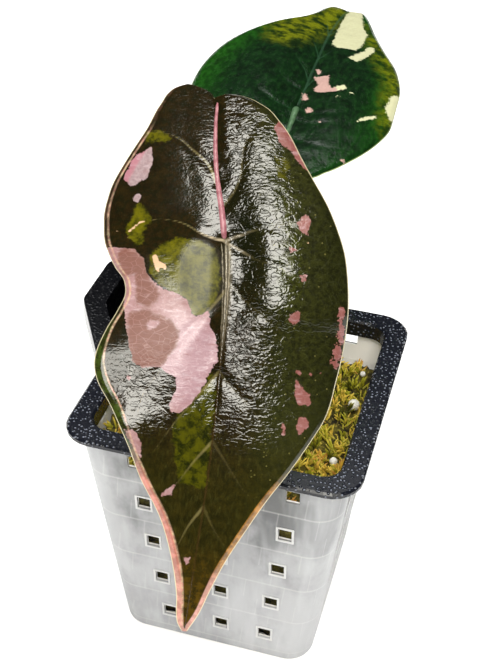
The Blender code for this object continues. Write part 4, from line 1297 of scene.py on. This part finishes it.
def ridge_skin(name, low, high):
    skin = Finish(name, roughness=0.33)
    place = skin.place()
    tone = skin.cloud(place, 420, 4, 0.6)
    skin.feed(base_color=skin.mix(tone.step(0.3, 0.7), low, high), normal=skin.bump(tone, 0.2 * MM, 0.5))
    return skin


def crown_bark():
    bark = Finish("crown_bark", roughness=0.8)
    place = bark.place()
    rings = (bark.parts_of(place)[2] * 2400 + bark.cloud(place, 220) * 3).wave()
    tone = bark.cloud(bark.stretched(place, (1, 1, 0.3)), 500, 5, 0.7)
    colour = bark.layered(
        bark.mix(tone.step(0.3, 0.7), (0.07, 0.038, 0.016), (0.26, 0.17, 0.075)),
        (rings.step(0.6, 1) * 0.6, (0.05, 0.028, 0.014)),
    )
    bark.feed(base_color=colour, normal=bark.bump(tone + rings * 0.2, 0.5 * MM, 0.8))
    return bark


def moss_skins():
    """Finishes of the moss sprigs and of the darker packed bed under them."""
    frond = Finish("moss_frond")
    place = frond.place()
    tone = frond.attribute("tone") + frond.wander(place, 55, 3, 0.55, 0.9)
    fleck = frond.cloud(place, 900, 2)
    colour = frond.layered(
        frond.mix(tone.step(0, 0.35), (0.06, 0.07, 0.004), (0.36, 0.34, 0.018)),
        (tone.step(0.38, 0.7), (0.74, 0.55, 0.08)),
        (tone.step(0.72, 1), (0.52, 0.24, 0.04)),
        (fleck.step(0.55, 0.8) * 0.35, (0.9, 0.76, 0.34)),
    )
    frond.feed(base_color=colour, roughness=0.35 + fleck * 0.35, normal=frond.bump(fleck, 0.12 * MM, 0.6))
    bed = Finish("moss_packed", roughness=0.85)
    place = bed.place()
    clump = bed.cloud(place, 160, 5, 0.7)
    strands = bed.cloud(bed.stretched(place, (1, 1, 2.6), (0.5, 0.3, 0)), 420, 4, 0.7, 1.2)
    colour = bed.layered(
        bed.mix(clump.step(0.38, 0.62), (0.012, 0.01, 0.003), (0.12, 0.1, 0.01)),
        (strands.step(0.54, 0.7), (0.34, 0.27, 0.04)),
    )
    bed.feed(base_color=colour, normal=bed.bump(strands + clump * 0.5, 1.2 * MM, 1))
    return frond, bed


def perlite_finish():
    grain = Finish("perlite_white", roughness=0.85)
    place = grain.place()
    pits = grain.cells(place, 1900)
    tone = grain.cloud(place, 700)
    grain.feed(base_color=grain.mix(tone, (0.72, 0.7, 0.64), (0.9, 0.89, 0.85)),
               normal=grain.bump(pits, 0.3 * MM, 0.7))
    return grain


def clear_plastic():
    """Frosted clear plastic: grey smudges and faint moulding lines, paler at its foot; its corners are
    painted paler as painted highlights and its inside is painted pale as painted light.
    """
    plastic = Finish("clear_plastic_frosted")
    place = plastic.place()
    x, y, z = (part * 1000 for part in plastic.parts_of(place))
    smudge = plastic.cloud(plastic.stretched(place, (1, 1, 0.6)), 34, 5, 0.6)
    streak = plastic.cloud(plastic.stretched(place, (1, 1, 0.12)), 150, 3, 0.55)
    fine = plastic.cloud(place, 900, 3)
    level = (z + 5) / WINDOW_PITCH
    brick = ((x + y) * 0.072 + (level * 2).rounded_down() * 0.37 + 8).fraction()
    seam = level.fraction().near(0.5, 0.035) + brick.near(0.5, 0.03) * 0.6
    # Corners painted paler: a painted highlight on the rounded corners
    corner = (abs(x) + abs(y)).step(70, 86)
    # The inside of the wall is painted pale: painted light on the inner skin
    straight = z * POT_TAPER + (POT_BASE_HALF - POT_CORNER)
    over_x = (abs(x) - straight).most(0)
    over_y = (abs(y) - straight).most(0)
    reach = (over_x.squared() + over_y.squared()).root()
    inner = 1 - reach.step(POT_CORNER - 0.9, POT_CORNER - 0.5)
    low = 1 - z.step(0, 90)
    colour = plastic.layered(
        plastic.mix(smudge.step(0.4, 0.6), (0.085, 0.088, 0.094), (0.315, 0.32, 0.332)),
        (streak.step(0.45, 0.75) * 0.4, (0.46, 0.468, 0.485)),
        (low * 0.42, (0.66, 0.665, 0.7)),
        (corner * 0.45, (0.5, 0.508, 0.525)),
        (seam * 0.25, (0.66, 0.66, 0.65)),
        (inner, (0.88, 0.86, 0.82)),
    )
    height = smudge * 0.4 + seam * 0.12 + fine * 0.06
    plastic.feed(base_color=colour, roughness=0.28 + fine * 0.2, alpha=0.72 + streak * 0.16 + corner * 0.08,
                 normal=plastic.bump(height, 0.8 * MM, 0.6))
    return plastic


def frame_plastic():
    plastic = Finish("clear_plastic_frames", roughness=0.4)
    tone = plastic.cloud(plastic.place(), 300)
    plastic.feed(base_color=plastic.mix(tone, (0.42, 0.42, 0.415), (0.54, 0.54, 0.535)),
                 normal=plastic.bump(tone, 0.2 * MM, 0.5))
    return plastic


def black_plastic():
    """Black moulded plastic with a pebbled skin: low round grains a little over a millimetre apart, with
    painted glints on the grain tops and painted shade in the pocket at the left.
    """
    plastic = Finish("black_plastic_pebbled", specular_ior_level=0.35)
    place = plastic.place()
    pebble = plastic.cells(plastic.shifted(place, place, 300, 0.0006), 800)
    grain = plastic.cloud(place, 2400, 2)
    patch = plastic.cloud(place, 60)
    domes = 1 - pebble.step(0.1, 0.5)
    # The pocket at the left is painted near black: painted shade, with fewer grains
    pocket = 1 - plastic.parts_of(place)[0].step(-0.0514, -0.0508)
    # Grain tops painted pale grey-blue: painted glints
    colour = plastic.layered(
        plastic.mix(patch, (0.0035, 0.004, 0.0065), (0.0075, 0.0085, 0.013)),
        (domes.step(0.45, 0.95) * 0.8, (0.17, 0.185, 0.225)),
        (pocket, (0.0012, 0.0013, 0.002)),
    )
    height = domes * (1 - pocket * 0.8) + grain * 0.04
    plastic.feed(base_color=colour, roughness=0.15 + patch * 0.05,
                 normal=plastic.bump(height, 0.16 * MM, 1))
    return plastic


def set_camera():
    view = bpy.data.cameras.new("photo_view")
    view.lens = CAMERA_LENS
    view.sensor_width = 36.0
    view.clip_start = 0.01
    camera = bpy.data.objects.new("photo_view", view)
    back = CAMERA_RIGHT.cross(CAMERA_UP)
    axes = Matrix((CAMERA_RIGHT, CAMERA_UP, back)).transposed()
    camera.matrix_world = Matrix.Translation(CAMERA_PLACE) @ axes.to_4x4()
    scene.collection.objects.link(camera)
    scene.camera = camera


def area_light(name, place, target, size, power, glossy=True, tint=(1.0, 1.0, 1.0)):
    lamp = bpy.data.lights.new(name, "AREA")
    lamp.color = tint
    lamp.shape = "RECTANGLE"
    lamp.size, lamp.size_y = size
    lamp.energy = power
    light = bpy.data.objects.new(name, lamp)
    aim = (Vector(target) - Vector(place)).to_track_quat("-Z", "Y")
    light.matrix_world = Matrix.Translation(place) @ aim.to_matrix().to_4x4()
    light.visible_glossy = glossy
    scene.collection.objects.link(light)


def set_studio():
    """Dim grey surroundings that the camera sees white, soft light from above and two warm key lamps."""
    world = bpy.data.worlds.new("studio")
    world.use_nodes = True
    tree = world.node_tree
    backdrop = tree.nodes.new("ShaderNodeMix")
    backdrop.data_type = "RGBA"
    backdrop.inputs[6].default_value = DIM_GREY
    backdrop.inputs[7].default_value = BACKDROP_WHITE
    seen = tree.nodes.new("ShaderNodeLightPath")
    tree.links.new(seen.outputs["Is Camera Ray"], backdrop.inputs[0])
    tree.links.new(backdrop.outputs[2], tree.nodes["Background"].inputs["Color"])
    scene.world = world
    scene.view_settings.view_transform = "Standard"
    area_light("overhead", (0.0, 0.4, 1.5), (0.0, 0.1, 0.0), size=(2.2, 1.4), power=19.0, glossy=False)
    daylight = bpy.data.lights.new("daylight", "SUN")
    daylight.energy = 2.5
    daylight.angle = math.radians(80)
    sky = bpy.data.objects.new("daylight", daylight)
    sky.visible_glossy = False
    scene.collection.objects.link(sky)
    area_light("rear_glint", (-0.15, 0.8, 1.25), (0.0, 0.05, 0.12), size=(0.6, 0.35), power=3.6)
    area_light("key", (0.18, -0.648, 0.932), LEAF_MIDDLE, size=(0.5, 0.58), power=11.8, tint=WARM_LIGHT)
    area_light("key_side", (-0.118, -0.822, 0.765), LEAF_MIDDLE, size=(0.17, 0.24), power=1.15,
               tint=WARM_LIGHT)
    area_light("front_fill", (0.15, -0.75, 0.85), (0.0, -0.02, 0.12), size=(1.2, 0.9), power=2.5,
               glossy=False)
    floor = bmesh.new()
    bmesh.ops.create_grid(floor, x_segments=1, y_segments=1, size=3.0)
    finish = Finish("studio_floor", roughness=0.9)
    soft = finish.cloud(finish.place(), 3.0)
    finish.feed(base_color=finish.mix(soft, (0.9, 0.9, 0.9), (0.94, 0.94, 0.94)))
    mesh = mesh_of(floor, "studio_floor")
    mesh.materials.append(finish.material)
    ground = bpy.data.objects.new("studio_floor", mesh)
    scene.collection.objects.link(ground)


def build_leaves():
    front = Leaf(FRONT_LEAF, FRONT_VEINS, FRONT_VALLEY, FRONT_SWELLS, front_gloss, front_folds)
    markings = {"pink": FRONT_PINK, "dusk": FRONT_DUSK, "blush": FRONT_BLUSH, "lime": FRONT_LIME,
                "cream": FRONT_CREAM}
    finishes = [front_skin(), under_skin("front_leaf_under", (0.075, 0.085, 0.035), (0.5, 0.25, 0.24)),
                edge_skin("front_leaf_edge", (0.8, 0.7, 0.48))]
    blade_piece("front_blade", front, markings, finishes, "leaf_front",
                columns=68, rows=230)
    back = Leaf(BACK_LEAF, BACK_VEINS, BACK_VALLEY, BACK_SWELLS, back_gloss, back_folds)
    markings = {"pink": BACK_PINK, "lime": BACK_LIME, "cream": BACK_CREAM}
    finishes = [back_skin(), under_skin("back_leaf_under", (0.045, 0.13, 0.04), (0.6, 0.58, 0.42)),
                edge_skin("back_leaf_edge", (0.45, 0.52, 0.25))]
    blade_piece("back_blade", back, markings, finishes, "leaf_back",
                columns=56, rows=190)

    # Each rib: points (across, along), first and last radius, height over the skin, and how much of its
    # radius it is sunk by, in mm
    rib_finish = ridge_skin("rib_green", (0.16, 0.2, 0.07), (0.26, 0.28, 0.12))
    for name, leaf, veins in (("front_ribs", front, FRONT_VEINS), ("back_ribs", back, BACK_VEINS)):
        runs = [(((0, 0.5), (0, 60), (0, 112)), 1.35, 0.25, -0.2, 1.0),
                (((0, -0.5), (0.1, -20), (0.4, -40)), 1.25, 0.5, -0.2, 1.0)]
        runs += [(vein, 0.62, 0.16, -0.1, 1.0) for vein in veins]
        rib_piece(name, leaf, runs, rib_finish)
    pink = ridge_skin("ridge_pink", (0.2, 0.062, 0.075), (0.34, 0.15, 0.165))
    ridge = ((1.1, -43.0), (0.4, -35.5), (0.0, -24.0), (0.0, -12.0), (-0.3, 0.3))
    rib_piece("front_ridge", front, [(ridge, 0.5, 1.15, 0.2, 0.35)], pink)
    pale = ridge_skin("ridge_pale", (0.03, 0.07, 0.03), (0.07, 0.13, 0.065))
    ridge = ((-0.5, -40.0), (-0.5, -18.0), (-0.3, -9.2), (-0.1, -0.5))
    rib_piece("back_ridge", back, [(ridge, 0.6, 1.4, 0.25, 0.35)], pale)

    route = stalk_route(front, foot=(-0.5, 6.2, 87.0), lean=(-0.06, -0.1, 1.0), arrival=0.15,
                        first_reach=45.0, last_reach=30.0)
    stalk_piece("front_stalk", route, stalk_skin("front_stalk_skin", (0.1, 0.13, 0.035), (0.24, 0.25, 0.08)),
                "stalk_front")
    route = stalk_route(back, foot=(0.5, 11.8, 87.0), lean=(0.04, 0.18, 1.0), arrival=0.35,
                        first_reach=40.0, last_reach=34.0)
    stalk_piece("back_stalk", route, stalk_skin("back_stalk_skin", (0.07, 0.17, 0.04), (0.18, 0.3, 0.09)),
                "stalk_back")
    crown_piece(crown_bark())


def build_pot():
    plastic = clear_plastic()
    pot_shell(plastic)
    window_frames(frame_plastic())
    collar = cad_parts["collar"]
    black = black_plastic()
    for cell in collar.material_slots:
        cell.material = black.material


def build_moss():
    lumps = moss_lumps()
    frond, bed = moss_skins()
    moss_bed(lumps, bed)
    moss_fronds("moss_fronds_1", lumps, frond, seed=23, count=560)
    moss_fronds("moss_fronds_2", lumps, frond, seed=41, count=330)
    perlite_grains(lumps, perlite_finish())


set_camera()
set_studio()
build_leaves()
build_pot()
build_moss()
